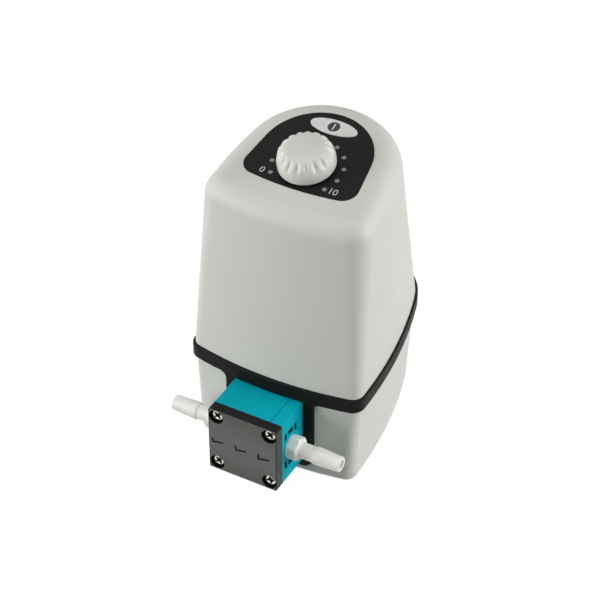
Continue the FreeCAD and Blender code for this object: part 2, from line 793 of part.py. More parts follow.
def make_head_body():
    """Block with two ports, two valve recesses at its front and the pump chamber at its back."""
    body = head_block(plate_back_y, head_back_y)
    floor_y = head_back_y - throw - clamp_t - chamber_end_gap
    recess_floor_y = plate_back_y + valve_recess_depth
    chamber = revolved([(0, 0), (0, chamber_floor_d / 2), (head_back_y - floor_y, chamber_d / 2),
                        (head_back_y - floor_y, 0)], V(0, floor_y, head_z), Y_AXIS, Z_AXIS)
    tools = [chamber]
    for side in mirror_pair:
        x = side * valve_at
        inward = X_AXIS * -side
        port_start = V(side * (half_side + 1), port_y, head_z)
        tools.append(cylinder(valve_recess_d / 2, V(x, plate_back_y - 1, head_z), Y_AXIS, valve_recess_depth + 1))
        tools.append(cylinder(port_thread_d / 2 + fit_gap, port_start, inward, port_thread_len + 1.5))
        tools.append(ring(valve_recess_d / 2 + seal_section + 1, valve_recess_d / 2 + 1,
                          V(x, plate_back_y, head_z), Y_AXIS, seal_section))
        tools += list(side_pockets(side).Solids)
    left, right = -valve_at, valve_at
    seat_r = valve_seat_d / 2
    by_r = valve_by_pass_d / 2
    passage_r = port_passage_d / 2
    by_pass = (valve_recess_d - valve_by_pass_d) / 2 - valve_by_pass_margin
    to_port = port_y - recess_floor_y
    to_chamber = floor_y - recess_floor_y + 0.1
    for x, radius, length in ((left, seat_r, to_port), (left + by_pass, by_r, to_chamber),
                              (right - by_pass / 2, seat_r, to_chamber), (right + by_pass, by_r, to_port)):
        tools.append(cylinder(radius, V(x, recess_floor_y, head_z), Y_AXIS, length))
    tools.append(cylinder(passage_r, V(-half_side, port_y, head_z), X_AXIS, half_side + left + seat_r + 1))
    start_x = right + by_pass - passage_r
    tools.append(cylinder(passage_r, V(start_x, port_y, head_z), X_AXIS, half_side - start_x))
    for x, z in head_screw_spots():
        tools.append(cylinder(head_screw_d / 2 + screw_hole_gap, V(x, plate_back_y - 1, z), Y_AXIS, head_body_len + 2))
    line_half = part_line_w / 2
    tools.append(box(part_line_at - line_half, part_line_at + line_half, plate_back_y - 1, head_back_y + 1,
                     head_top_z - part_line_w, head_top_z + 1))
    return cut_all(body, tools)


def make_head_screws():
    length = plate_t - counterbore_depth + head_body_len + diaphragm_t + thread_depth - 1
    screws = []
    for x, z in head_screw_spots():
        start = V(x, face_y + counterbore_depth, z)
        screws.append(pan_screw(start, Y_AXIS, length, head_screw_d - fit_gap, screw_head_d, screw_head_h))
    return Part.makeCompound(screws)


def make_valve_seals():
    seals = []
    for side in mirror_pair:
        centre = V(side * valve_at, plate_back_y + seal_section / 2, head_z)
        major = valve_recess_d / 2 + 1 + seal_section / 2
        seals.append(Part.makeTorus(major, seal_section / 2, centre, Y_AXIS))
    return Part.makeCompound(seals)


def make_valve(side):
    seat_y = plate_back_y + valve_recess_depth
    return cylinder(valve_d / 2, V(side * valve_at, seat_y - 0.02, head_z), -Y_AXIS, valve_t)


def make_connector(side):
    """Hose connector: threaded end, hexagonal collar, neck, and a tapered tail with a short land."""
    out = X_AXIS * side
    centre = V(side * half_side, port_y, head_z)
    tail_r = tail_d / 2
    neck_r = neck_d / 2
    tip_r = tail_tip_d / 2
    points = [(-port_thread_len, 0), (-port_thread_len, port_thread_d / 2), (0, port_thread_d / 2),
              (collar_len - 1, port_thread_d / 2), (collar_len - 1, neck_r + 0.6), (collar_len + 1.2, neck_r),
              (neck_end - 0.5, neck_r), (neck_end, tail_r - 0.1), (neck_end + 0.2, tail_r),
              (neck_end + 0.2 + tail_land, tail_r), (tail_end - 0.5, tip_r), (tail_end, tip_r - 0.5), (tail_end, 0)]
    body = revolved(points, centre, out, Z_AXIS)
    collar = hexagon(collar_across, centre + out * fit_gap, out, collar_len - fit_gap)
    collar_r = collar_d / 2
    limit = revolved([(0, 0), (0, collar_r - 0.5), (0.5, collar_r), (collar_len - 1, collar_r),
                      (collar_len, collar_r - 1), (collar_len, 0)], centre, out, Z_AXIS)
    body = body.fuse(collar.common(limit))
    groove = ring(port_thread_d / 2 + seal_section, port_thread_d / 2 - 0.01, centre, out, seal_section)
    bore = cylinder(tail_bore_d / 2, centre - out * (port_thread_len + 1), out, port_thread_len + tail_end + 2)
    return cut_all(body, [groove, bore]).removeSplitter()


def make_connector_seals():
    seals = []
    for side in mirror_pair:
        centre = V(side * (half_side + seal_section / 2), port_y, head_z)
        seals.append(Part.makeTorus(port_thread_d / 2 + seal_section / 2, seal_section / 2, centre, X_AXIS))
    return Part.makeCompound(seals)


# Drive

def make_diaphragm():
    """Moulded disc with its middle pushed forward by half the stroke."""
    clamp_r = clamp_d / 2
    chamber_r = chamber_d / 2
    outer_r = diaphragm_d / 2
    hole_r = shaft_d / 3 + fit_gap
    points = [(-throw, hole_r), (-throw, clamp_r), (0, chamber_r), (0, outer_r), (diaphragm_t, outer_r),
              (diaphragm_t, chamber_r), (diaphragm_t - throw, clamp_r), (diaphragm_t - throw, hole_r)]
    return revolved(points, V(0, head_back_y, head_z), Y_AXIS, Z_AXIS)


def make_diaphragm_clamp():
    """Domed disc in front of the diaphragm, with the stud that screws it to the rod."""
    front_y = head_back_y - throw
    disc = cylinder(clamp_d / 2, V(0, front_y, head_z), -Y_AXIS, clamp_t)
    rim = edges_where(disc, lambda e: e.BoundBox.YMax < front_y - clamp_t + 0.01)
    disc = disc.makeFillet(1.5, rim)
    return disc.fuse(cylinder(shaft_d / 3, V(0, front_y, head_z), Y_AXIS, diaphragm_t + rod_disc_t + 5))


def make_connecting_rod():
    """Support disc, stem and the ring around the crank bearing."""
    disc_y = head_back_y - throw + diaphragm_t
    ring_y = motor_y - throw
    disc = cylinder(clamp_d / 2, V(0, disc_y, head_z), Y_AXIS, rod_disc_t)
    stem = cylinder(rod_stem_d / 2, V(0, disc_y, head_z), Y_AXIS, ring_y - disc_y)
    flat = box(-rod_stem_d, rod_stem_d, disc_y + rod_disc_t, ring_y,
               head_z - rod_ring_h / 2, head_z + rod_ring_h / 2)
    stem = stem.common(flat).fuse(cylinder(rod_stem_d / 2, V(0, disc_y, head_z), Y_AXIS, rod_disc_t + 4))
    eye = cylinder(rod_ring_d / 2, V(0, ring_y, head_z - rod_ring_h / 2), Z_AXIS, rod_ring_h)
    rod = fuse_all([disc, stem, eye])
    tools = [cylinder(bearing_od / 2 + fit_gap / 2, V(0, ring_y, head_z - rod_ring_h), Z_AXIS, 2 * rod_ring_h),
             cylinder(shaft_d / 3 + fit_gap, V(0, disc_y - 1, head_z), Y_AXIS, rod_disc_t + 7)]
    return cut_all(rod, tools)


def make_rod_bearing():
    start = V(0, motor_y - throw, head_z - bearing_h / 2)
    return ring(bearing_od / 2, bearing_bore / 2 + run_gap, start, Z_AXIS, bearing_h)


def make_eccentric():
    """Crank journal offset by half the stroke, with its counterweight on the far side."""
    weight_z = head_z - rod_ring_h / 2 - 1 - counterweight_h
    journal_top = head_z + rod_ring_h / 2 + 1
    journal = cylinder(bearing_bore / 2, V(0, motor_y - throw, weight_z), Z_AXIS, journal_top - weight_z)
    weight = cylinder(counterweight_r, V(0, motor_y, weight_z), Z_AXIS, counterweight_h)
    reach = 2 * counterweight_r
    weight = weight.cut(box(-reach, reach, motor_y - reach, motor_y, 0, 2 * head_z))
    hub = cylinder(bearing_bore / 2 + 1, V(0, motor_y, weight_z), Z_AXIS, counterweight_h)
    bore = cylinder(shaft_d / 2, V(0, motor_y, 0), Z_AXIS, 2 * head_z)
    return fuse_all([journal, weight, hub]).cut(bore)


def make_motor_shaft():
    bottom = head_z - rod_ring_h / 2 - 1 - counterweight_h - 1
    top = head_top_z + motor_h - 2
    return cylinder(shaft_d / 2, V(0, motor_y, bottom), Z_AXIS, top - bottom)


def make_motor_rotor():
    middle = head_top_z + motor_h / 2
    return ring(rotor_d / 2, shaft_d / 2, V(0, motor_y, middle - stator_h / 2), Z_AXIS, stator_h)


def make_motor_stator():
    """Laminated ring with slots that open to the bore."""
    middle = head_top_z + motor_h / 2
    start = V(0, motor_y, middle - stator_h / 2)
    outer_r = motor_d / 2 - motor_wall
    core = ring(outer_r, stator_bore / 2, start, Z_AXIS, stator_h)
    slots = []
    for i in range(stator_slots):
        slots.append(slot_form(i, outer_r, start, 0.0, stator_h))
    return cut_all(core, slots)


def slot_form(index, outer_r, start, inset, height):
    """Space of one winding slot, as a sector that stops short of the outer ring."""
    half_angle = 9.0
    slot = Part.makeCylinder(outer_r - 3 - inset, height, start, Z_AXIS, 2 * half_angle)
    slot = slot.cut(cylinder(stator_bore / 2 + 2 + inset, start, Z_AXIS, height))
    mouth = box(-1, 1, start.y + stator_bore / 2 - 1, start.y + stator_bore / 2 + 3, start.z, start.z + height)
    mouth.rotate(start, Z_AXIS, half_angle - 90)
    whole = slot if inset else slot.fuse(mouth)
    whole.rotate(start, Z_AXIS, 360.0 * index / stator_slots - half_angle)
    return whole


def make_motor_windings():
    middle = head_top_z + motor_h / 2
    height = stator_h + 8
    start = V(0, motor_y, middle - height / 2)
    outer_r = motor_d / 2 - motor_wall
    return Part.makeCompound([slot_form(i, outer_r, start, 0.2, height) for i in range(stator_slots)])


def motor_screw_spots():
    return [(sx * head_screw_at, motor_y + sy * head_screw_at) for sx in mirror_pair for sy in mirror_pair]


def make_motor_can():
    """Motor body with the square foot that stands on the crankcase."""
    z0 = head_top_z
    foot = box(-half_side, half_side, motor_y - half_side, motor_y + half_side, z0, z0 + 4)
    foot = foot.makeFillet(3, edges_where(foot, vertical))
    can = cylinder(motor_d / 2, V(0, motor_y, z0), Z_AXIS, motor_h - motor_cap_t)
    whole = fuse_all([foot, can])
    tools = [cylinder(motor_d / 2 - motor_wall, V(0, motor_y, z0 + motor_plate_t), Z_AXIS, motor_h),
             cylinder(motor_bearing_od / 2, V(0, motor_y, z0 + motor_plate_t - motor_bearing_h), Z_AXIS, motor_h),
             cylinder(shaft_d, V(0, motor_y, z0 - 1), Z_AXIS, motor_h)]
    for x, y in motor_screw_spots():
        tools.append(cylinder(3.0 / 2 + screw_hole_gap, V(x, y, z0 - 1), Z_AXIS, 6))
        tools.append(cylinder(6.4 / 2, V(x, y, z0 + 4), Z_AXIS, 6))
    return cut_all(whole, tools)


def make_motor_cap():
    z0 = head_top_z + motor_h - motor_cap_t
    cap = cylinder(motor_d / 2, V(0, motor_y, z0), Z_AXIS, motor_cap_t)
    cap = cap.makeFillet(2, edges_where(cap, lambda e: e.BoundBox.ZMin > z0 + motor_cap_t - 0.01))
    seat = cylinder(motor_bearing_od / 2, V(0, motor_y, z0 - 1), Z_AXIS, motor_bearing_h + 1)
    return cap.cut(seat)


def make_motor_bearings():
    low = head_top_z + motor_plate_t - motor_bearing_h
    high = head_top_z + motor_h - motor_cap_t
    rings = []
    for z in (low, high):
        rings.append(ring(motor_bearing_od / 2, shaft_d / 2 + run_gap, V(0, motor_y, z), Z_AXIS, motor_bearing_h))
    return Part.makeCompound(rings)


def make_motor_screws():
    screws = []
    for x, y in motor_screw_spots():
        start = V(x, y, head_top_z + 4)
        screws.append(pan_screw(start, -Z_AXIS, 4 + 7, 3.0 - fit_gap, 5.6, 2.2))
    return Part.makeCompound(screws)


def make_crankcase():
    """Block behind the diaphragm with the crank's well and the rod's opening."""
    back_y = motor_y + half_side
    block = box(-half_side, half_side, case_y, back_y, case_bottom_z, head_top_z)
    block = block.makeFillet(head_edge_r, edges_where(block, along_y))
    well = cylinder(crank_bore_d / 2, V(0, motor_y, case_bottom_z + crankcase_floor), Z_AXIS, head_side)
    mouth = cylinder(chamber_d / 2, V(0, case_y - 1, head_z), Y_AXIS, motor_back + 1)
    tools = [well, mouth]
    for x, z in head_screw_spots():
        tools.append(cylinder(head_screw_d / 2, V(x, case_y - 1, z), Y_AXIS, thread_depth + 1))
    for x, y in motor_screw_spots():
        tools.append(cylinder(1.5, V(x, y, head_top_z - 8), Z_AXIS, 9))
        tools.append(cylinder(head_screw_d / 2, V(x, y, case_bottom_z - 1), Z_AXIS, thread_depth))
    return cut_all(block, tools)


def make_pump_bracket():
    """Folded plate under the crankcase, standing on the rubber mounts."""
    z1 = case_bottom_z
    y0 = motor_y - half_side
    y1 = motor_y + half_side
    plate = box(-bracket_half, bracket_half, y0, y1, z1 - bracket_t, z1)
    solids = [plate]
    for side in mirror_pair:
        x0, x1 = sorted((side * bracket_half, side * (bracket_half - bracket_t)))
        solids.append(box(x0, x1, y0, y1, z1 - bracket_t, z1 + bracket_lip))
    bracket = fuse_all(solids)
    tools = [cylinder(head_screw_d / 2 + screw_hole_gap, V(x, y, z1 - 2 * bracket_t), Z_AXIS, 3 * bracket_t)
             for x, y in motor_screw_spots()]
    tools += [cylinder(2.0, V(x, y, z1 - 2 * bracket_t), Z_AXIS, 3 * bracket_t) for x, y in mount_spots()]
    return cut_all(bracket, tools)


def make_bracket_screws():
    screws = []
    for x, y in motor_screw_spots():
        start = V(x, y, case_bottom_z - bracket_t)
        screws.append(pan_screw(start, Z_AXIS, bracket_t + 7, head_screw_d - fit_gap, 7.0, 2.4))
    return Part.makeCompound(screws)


def make_vibration_mounts():
    """Waisted rubber mounts, each with a snap stud through the bracket."""
    mounts = []
    top = case_bottom_z - bracket_t
    radius = mount_d / 2
    for x, y in mount_spots():
        height = top - floor_z
        points = [(0, 0), (0, radius), (mount_seat, radius), (height / 2, radius - 1.2),
                  (height, radius - 0.6), (height, 1.95), (height + bracket_t, 1.95),
                  (height + bracket_t, 3.0), (height + bracket_t + 1, 3.0), (height + bracket_t + 2, 1.5),
                  (height + bracket_t + 2, 0)]
        mounts.append(revolved(points, V(x, y, floor_z), Z_AXIS, X_AXIS))
    return Part.makeCompound(mounts)


# Mains side

def inlet_outline(width, height, corner, y0, y1):
    """Socket block with its two lower corners cut off."""
    z = base_z + inlet_height
    half_w, half_h = width / 2, height / 2
    points = [V(-half_w, y0, z + half_h), V(half_w, y0, z + half_h), V(half_w, y0, z - half_h + corner),
              V(half_w - corner, y0, z - half_h), V(-half_w + corner, y0, z - half_h),
              V(-half_w, y0, z - half_h + corner)]
    return Part.Face(Part.makePolygon(points + [points[0]])).extrude(Y_AXIS * (y1 - y0))


def make_power_inlet():
    """Appliance inlet with a flange on the flat recess and an open socket."""
    seat_y = recess_face_y()
    z = base_z + inlet_height
    flange = box(-inlet_flange[0] / 2, inlet_flange[0] / 2, seat_y, seat_y + inlet_flange_t,
                 z - inlet_flange[1] / 2, z + inlet_flange[1] / 2)
    flange = flange.makeFillet(2, edges_where(flange, along_y))
    body = box(-inlet_body[0] / 2, inlet_body[0] / 2, seat_y + inlet_flange_t - inlet_depth, seat_y + 1,
               z - inlet_body[1] / 2, z + inlet_body[1] / 2)
    mouth_y = seat_y + inlet_flange_t
    socket = inlet_outline(inlet_socket[0], inlet_socket[1], inlet_corner,
                           mouth_y - inlet_socket_depth, mouth_y + 1)
    return fuse_all([flange, body]).cut(fuse_all(inlet_pin_shapes())).cut(socket)


def inlet_pin_shapes():
    seat_y = recess_face_y()
    z = base_z + inlet_height
    floor_y = seat_y + inlet_flange_t - inlet_socket_depth
    rear_y = seat_y + inlet_flange_t - inlet_depth - 5
    half_w, half_h = inlet_pin[0] / 2, inlet_pin[1] / 2
    pins = []
    for x, dz in ((-inlet_pin_at[0], -inlet_pin_at[1]), (0, inlet_pin_at[1]), (inlet_pin_at[0], -inlet_pin_at[1])):
        pin = box(x - half_w, x + half_w, rear_y, floor_y + inlet_pin_len,
                  z + dz - half_h, z + dz + half_h)
        tip = edges_where(pin, lambda e: e.BoundBox.YMin > floor_y + inlet_pin_len - 0.01)
        pins.append(pin.makeChamfer(0.5, tip))
    return pins


def make_power_board():
    x0 = power_board[0] / 2
    y0 = seam_y + power_board_front
    z0 = base_z + power_board_height
    board = box(-x0, x0, y0, y0 + power_board[1], z0, z0 + board_t)
    holes = [cylinder(board_screw_d / 2 + 0.1, V(x, y, z0 - 1), Z_AXIS, board_t + 2) for x, y in power_posts()]
    return cut_all(board, holes)


def make_power_board_screws():
    screws = []
    for x, y in power_posts():
        start = V(x, y, base_z + power_board_height + board_t)
        screws.append(pan_screw(start, -Z_AXIS, board_t + 6, board_screw_d - fit_gap, board_screw_d * 1.9, 1.8))
    return Part.makeCompound(screws)


def make_power_transformer():
    z0 = base_z + power_board_height + board_t
    y0 = seam_y + power_board_front + power_post_d + 1
    width, depth, height = transformer
    x0 = -power_board[0] / 2 + part_spacing
    return box(x0, x0 + width, y0, y0 + depth, z0, z0 + height)


def make_power_capacitors():
    z0 = base_z + power_board_height + board_t
    x0 = -power_board[0] / 2 + part_spacing + transformer[0] + 1 + capacitor_d / 2
    y0 = seam_y + power_board_front + power_post_d + capacitor_d / 2 + 1
    cans = []
    for i in range(2):
        can = cylinder(capacitor_d / 2, V(x0, y0 + i * (capacitor_d + 1), z0), Z_AXIS, capacitor_h)
        cans.append(can.makeFillet(1, edges_where(can, lambda e: e.BoundBox.ZMin > z0 + capacitor_h - 0.01)))
    return Part.makeCompound(cans)


def build():
    os.makedirs("parts", exist_ok=True)
    export("upper_housing", make_upper_housing())
    export("lower_housing", make_lower_housing())
    export("seam_band", make_seam_band())
    export("rubber_feet", make_rubber_feet())
    export("housing_screws", make_housing_screws())
    export("control_panel", make_control_panel())
    export("power_button", make_power_button())
    export("power_switch", make_power_switch())
    export("potentiometer", make_potentiometer())
    export("potentiometer_nut", make_potentiometer_nut())
    export("potentiometer_shaft", make_potentiometer_shaft())
    export("speed_knob", make_speed_knob())
    export("control_board", make_control_board())
    export("control_board_screws", make_control_board_screws())
    export("pressure_plate", make_pressure_plate())
    export("head_body", make_head_body())
    export("head_screws", make_head_screws())
    export("valve_seals", make_valve_seals())
    export("inlet_valve", make_valve(-1))
    export("outlet_valve", make_valve(1))
    export("hose_connector_left", make_connector(-1))
    export("hose_connector_right", make_connector(1))
    export("connector_seals", make_connector_seals())
    export("diaphragm", make_diaphragm())
    export("diaphragm_clamp", make_diaphragm_clamp())
    export("connecting_rod", make_connecting_rod())
    export("rod_bearing", make_rod_bearing())
    export("eccentric", make_eccentric())
    export("motor_shaft", make_motor_shaft())
    export("motor_rotor", make_motor_rotor())
    export("motor_stator", make_motor_stator())
    export("motor_windings", make_motor_windings())
    export("motor_can", make_motor_can())
    export("motor_cap", make_motor_cap())
    export("motor_bearings", make_motor_bearings())
    export("motor_screws", make_motor_screws())
    export("crankcase", make_crankcase())
    export("pump_bracket", make_pump_bracket())
    export("bracket_screws", make_bracket_screws())
    export("vibration_mounts", make_vibration_mounts())
    export("power_inlet", make_power_inlet())
    export("inlet_pins", Part.makeCompound(inlet_pin_shapes()))
    export("power_board", make_power_board())
    export("power_board_screws", make_power_board_screws())
    export("power_transformer", make_power_transformer())
    export("power_capacitors", make_power_capacitors())


build()
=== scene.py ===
import json
import math

import bpy
from mathutils import Matrix, Vector


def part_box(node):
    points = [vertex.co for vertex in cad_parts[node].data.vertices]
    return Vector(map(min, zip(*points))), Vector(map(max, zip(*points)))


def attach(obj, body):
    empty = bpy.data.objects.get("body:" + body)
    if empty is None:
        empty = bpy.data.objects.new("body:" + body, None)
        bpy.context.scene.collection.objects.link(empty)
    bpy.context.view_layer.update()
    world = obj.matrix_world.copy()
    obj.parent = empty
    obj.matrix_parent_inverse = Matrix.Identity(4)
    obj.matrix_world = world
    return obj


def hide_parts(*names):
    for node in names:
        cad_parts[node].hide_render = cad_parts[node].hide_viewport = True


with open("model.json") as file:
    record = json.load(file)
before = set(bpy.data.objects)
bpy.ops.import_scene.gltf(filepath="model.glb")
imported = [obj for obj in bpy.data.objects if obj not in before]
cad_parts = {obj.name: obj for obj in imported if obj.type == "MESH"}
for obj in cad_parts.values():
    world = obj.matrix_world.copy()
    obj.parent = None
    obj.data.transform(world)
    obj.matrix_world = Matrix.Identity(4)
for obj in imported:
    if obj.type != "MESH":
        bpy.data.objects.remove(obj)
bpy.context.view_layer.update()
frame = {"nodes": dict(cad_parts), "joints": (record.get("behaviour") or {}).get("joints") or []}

# Looks of a diaphragm liquid pump. Lengths are in metres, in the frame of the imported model.

NODES = frame["nodes"]
MM = 0.001

# Camera at the photograph's viewing angle
CAMERA_AZIMUTH = math.radians(29.17)
CAMERA_ELEVATION = math.radians(38.42)
CAMERA_DISTANCE = 1.2832
CAMERA_TARGET = Vector((-0.00589, -0.00897, 0.09658))
CAMERA_LENS = 123.59
CAMERA_FAR = 20.0
SENSOR_WIDTH = 36.0

# The sloping roof, with its own frame on the knob's axis: X right, Y up the slope, Z out of it
KNOB_JOINT = next(joint for joint in frame["joints"] if joint["name"] == "knob_turn")
ROOF_RIGHT = Vector((1, 0, 0))
ROOF_NORMAL = Vector(KNOB_JOINT["axis"]).normalized()
ROOF_UP = ROOF_NORMAL.cross(ROOF_RIGHT)
ROOF_ORIGIN = Vector(KNOB_JOINT["pos_m"])

# Print: its thickness, the share of a printed disc's height where its edge turns in, and of its radius on top
PRINT_T = 0.04 * MM
DISC_EDGE_START = 0.6
DISC_TOP_R = 0.97

# Dial print, on the roof's frame
DOT_RING_R = 22.25 * MM
DOT_R = 1.45 * MM
DOT_SIDES = 40
DOT_COUNT = 11
DIAL_HALF_ANGLE = math.radians(124.9)
NUMERAL_SIZE = 6.44 * MM
NUMERAL_X = 23.882 * MM

# Power mark on the oval key, on the roof's frame
KEY_BACK = 34.0 * MM
KEY_PROUD = 0.6 * MM
MARK_R = 3.92 * MM
MARK_SIDES = 64
MARK_BAR_W = 0.8 * MM
MARK_BAR_H = 5.0 * MM
MARK_BAR_PROUD = 0.064 * MM

# Flow arrows sunk in the pressure plate, shown only as painted shadow: dark strokes on their left and lower
# walls, through three (x, height) points in millimetres, with the strokes' width and the least cosine that a
# mitre is widened by
FLOW_ARROW_SHADOWS = (
    ((-21.6, 38.0), (-21.0, 34.9), (-13.7, 36.5)),
    ((-5.3, 38.3), (-4.6, 34.9), (2.6, 36.5)),
    ((11.2, 38.7), (11.2, 34.8), (18.7, 36.5)),
)
STROKE_W = 1.25 * MM
LEAST_MITRE = 0.3

# Pockets beside the collars in the head's sides, painted near black as shade: half width, half height, depth,
# and how the painted shade sets in
POCKET_HALF_W = 7.6 * MM
POCKET_HALF_H = 14.4 * MM
POCKET_DEPTH = 5.2 * MM
POCKET_SHADE_FADE = (0.3 * MM, 0.9 * MM)

# Pressure plate's finish, with painted shade: depths at which its face ends, distances from its side edges
# where the painted black shade line sets in, heights from its middle over which the face darkens as painted
# shade, height of the painted black shade at the ends of its edges, and radius of the screw wells painted
# dark as shade
PLATE_FACE_END = (0.2 * MM, 0.4 * MM)
PLATE_SHADE_LINE = (0.7 * MM, 0.35 * MM)
PLATE_SHADE_FADE = (6.0 * MM, 24.0 * MM)
PLATE_SHADE_END_H = 3.0 * MM
SCREW_WELL_SHADE_R = 5.3 * MM

# Heads of the pressure plate's screws, sunk in their wells: distance from the plate's middle, depths below
# its face, and how far in and how far below the top the rounded edge's outlines lie
SCREW_AT = 18.6 * MM
SCREW_HEAD_R = 4.0 * MM
SCREW_TOP = 1.9 * MM
SCREW_SEAT = 3.2 * MM
SCREW_EDGE = ((0.0, 0.9 * MM), (0.15 * MM, 0.45 * MM), (0.45 * MM, 0.15 * MM), (0.9 * MM, 0.0))
SCREW_SIDES = 48

# Cross recess of the screws, with each screw's turn in degrees by its side and end of the plate
CROSS_POINTS = 12
CROSS_HALF = 2.75 * MM
CROSS_HALF_W = 0.7 * MM
CROSS_DEPTH = 1.1 * MM
CROSS_TAPER = 0.5 * MM
SCREW_TURNS = {(-1, 1): 45.0, (1, 1): 40.0, (-1, -1): 42.0, (1, -1): 12.0}

# Knob, on the roof's frame: a domed crown, a round shoulder, a skirt and an inner foot that hides the nut
KNOB_R = 17.9 * MM
KNOB_TOP_H = 16.5 * MM
KNOB_DRAFT = math.radians(10.0)
CROWN_LEAN = math.radians(12.0)
CROWN_STEPS = 5
SHOULDER_R = 8.5 * MM
SHOULDER_DROP = 3.1 * MM
SHOULDER_STEPS = 16
SKIRT_H = 6.9 * MM
SKIRT_STEPS = 4
KNOB_GAP = 2.0 * MM
KNOB_EDGE_R = 1.0 * MM
KNOB_EDGE_STEPS = 4
FOOT_R = 12.0 * MM
FOOT_GAP = 0.5 * MM
CAVITY_R = 8.0 * MM
CAVITY_H = 6.0 * MM

# Flutes between the knob's lobes: their depth fades out at the crown and towards the skirt
LOBES = 18
LOBE_POINTS = 12
LOBE_TURN = math.radians(11.0)
LOBE_DEPTH = 1.15 * MM
LOBE_SHARPNESS = 1.7
LOBE_END = 0.9

# Lights: share of full level, size, azimuth from the front towards the right, elevation, distance
LIGHTS = (
    ("left", 0.70, 0.9, -50.0, 14.0, 1.6),
    ("right", 0.77, 1.0, 103.0, 12.0, 1.5),
    ("top", 0.265, 0.9, 20.0, 80.0, 1.5),
)

# World and floor: what is seen is white, and what lights the part is much less. The floor that is seen is
# mostly a glow, so that its white meets the world's, and partly a plain white that takes the shadow.
WORLD_FILL = 0.184
FLOOR_HALF = 3.0
FLOOR_GREY = 0.3
FLOOR_WHITE = 0.8
FLOOR_GLOW_SHARE = 0.9
GLOW_LEVEL = 1.07


# Node helpers

def new_material(name):
    material = bpy.data.materials.new(name)
    material.use_nodes = True
    material.node_tree.nodes.clear()
    return material, material.node_tree


def add_node(tree, kind, **settings):
    node = tree.nodes.new(kind)
    for key, value in settings.items():
        setattr(node, key, value)
    return node


def object_coordinates(tree):
    return add_node(tree, "ShaderNodeTexCoord").outputs["Object"]


def noise(tree, vector, size, detail=2.0, roughness=0.5):
    """Noise whose features are about size metres across."""
    node = add_node(tree, "ShaderNodeTexNoise")
    node.inputs["Scale"].default_value = 1.0 / size
    node.inputs["Detail"].default_value = detail
    node.inputs["Roughness"].default_value = roughness
    tree.links.new(vector, node.inputs["Vector"])
    return node.outputs["Fac"]


def spread(tree, value, low, high, start=0.3, end=0.7):
    """Value from start to end becomes low to high."""
    node = add_node(tree, "ShaderNodeMapRange")
    for name, number in (("From Min", start), ("From Max", end), ("To Min", low), ("To Max", high)):
        node.inputs[name].default_value = number
    tree.links.new(value, node.inputs["Value"])
    return node.outputs["Result"]


def mix_colours(tree, share, first, second):
    """First colour where share is 0, second where it is 1; each is a socket or three numbers."""
    node = add_node(tree, "ShaderNodeMix", data_type="RGBA")
    tree.links.new(share, node.inputs["Factor"])
    for socket, colour in ((node.inputs[6], first), (node.inputs[7], second)):
        if isinstance(colour, bpy.types.NodeSocket):
            tree.links.new(colour, socket)
        else:
            socket.default_value = (*colour, 1.0)
    return node.outputs[2]


def calculate(tree, operation, *values):
    """Result of a sum or comparison of sockets and numbers."""
    node = add_node(tree, "ShaderNodeMath", operation=operation)
    for socket, value in zip(node.inputs, values):
        if isinstance(value, bpy.types.NodeSocket):
            tree.links.new(value, socket)
        else:
            socket.default_value = value
    return node.outputs[0]


def split(tree, vector):
    node = add_node(tree, "ShaderNodeSeparateXYZ")
    tree.links.new(vector, node.inputs["Vector"])
    return node.outputs


def from_middle(tree, value, middle):
    """How far a coordinate is from the middle, without a sign."""
    return calculate(tree, "ABSOLUTE", calculate(tree, "SUBTRACT", value, middle))


def bump(tree, height, distance):
    node = add_node(tree, "ShaderNodeBump")
    node.inputs["Strength"].default_value = 1.0
    node.inputs["Distance"].default_value = distance
    tree.links.new(height, node.inputs["Height"])
    return node.outputs["Normal"]


def surface(tree, colour, roughness, normal=None, **fixed):
    """Principled surface; fixed sockets are plain values under the sockets' names in lower case."""
    shader = add_node(tree, "ShaderNodeBsdfPrincipled")
    output = add_node(tree, "ShaderNodeOutputMaterial")
    tree.links.new(shader.outputs["BSDF"], output.inputs["Surface"])
    tree.links.new(colour, shader.inputs["Base Color"])
    tree.links.new(roughness, shader.inputs["Roughness"])
    if normal is not None:
        tree.links.new(normal, shader.inputs["Normal"])
    for name, value in fixed.items():
        shader.inputs[name.replace("_", " ").title().replace("Ior", "IOR")].default_value = value


def shade(colour, factor):
    return tuple(min(1.0, part * factor) for part in colour)


# Materials

# How much a metal's marks are squeezed along each axis
BRUSHED = (1.0, 1.0, 6.0)
UNBRUSHED = (1.0, 1.0, 1.0)


def moulded_plastic(name, colour, roughness, grain, depth, mottle, **fixed):
    """Injection moulded plastic: slow colour drift, fine spark texture and uneven gloss."""
    material, tree = new_material(name)
    place = object_coordinates(tree)
    drift = spread(tree, noise(tree, place, 40 * MM), 0.0, 1.0)
    speck = spread(tree, noise(tree, place, grain * 2, detail=3.0), 0.0, 1.0)
    base = mix_colours(tree, drift, shade(colour, 1 - mottle), shade(colour, 1 + mottle))
    base = mix_colours(tree, speck, base, shade(colour, 1 - mottle * 0.5))
    gloss = spread(tree, noise(tree, place, 9 * MM, detail=4.0), roughness - 0.06, roughness + 0.06)
    normal = bump(tree, noise(tree, place, grain, detail=3.0), depth)
    surface(tree, base, gloss, normal, **fixed)
    return material


def speckled_plastic(name, colour, fleck, roughness, grain, amount, depth):
    """Filled plastic: cloudy, with fine flecks of another colour."""
    material, tree = new_material(name)
    place = object_coordinates(tree)
    coarse = spread(tree, noise(tree, place, grain * 3, detail=2.0), 0.0, 1.0, start=0.35, end=0.65)
    flecks = noise(tree, place, grain, detail=4.0, roughness=0.7)
    fine = spread(tree, flecks, 0.0, amount, start=0.45, end=0.75)
    base = mix_colours(tree, coarse, shade(colour, 0.9), shade(colour, 1.1))
    base = mix_colours(tree, fine, base, fleck)
    gloss = spread(tree, noise(tree, place, grain * 5, detail=3.0), roughness - 0.08, roughness + 0.08)
    normal = bump(tree, noise(tree, place, grain, detail=4.0), depth)
    surface(tree, base, gloss, normal)
    return material


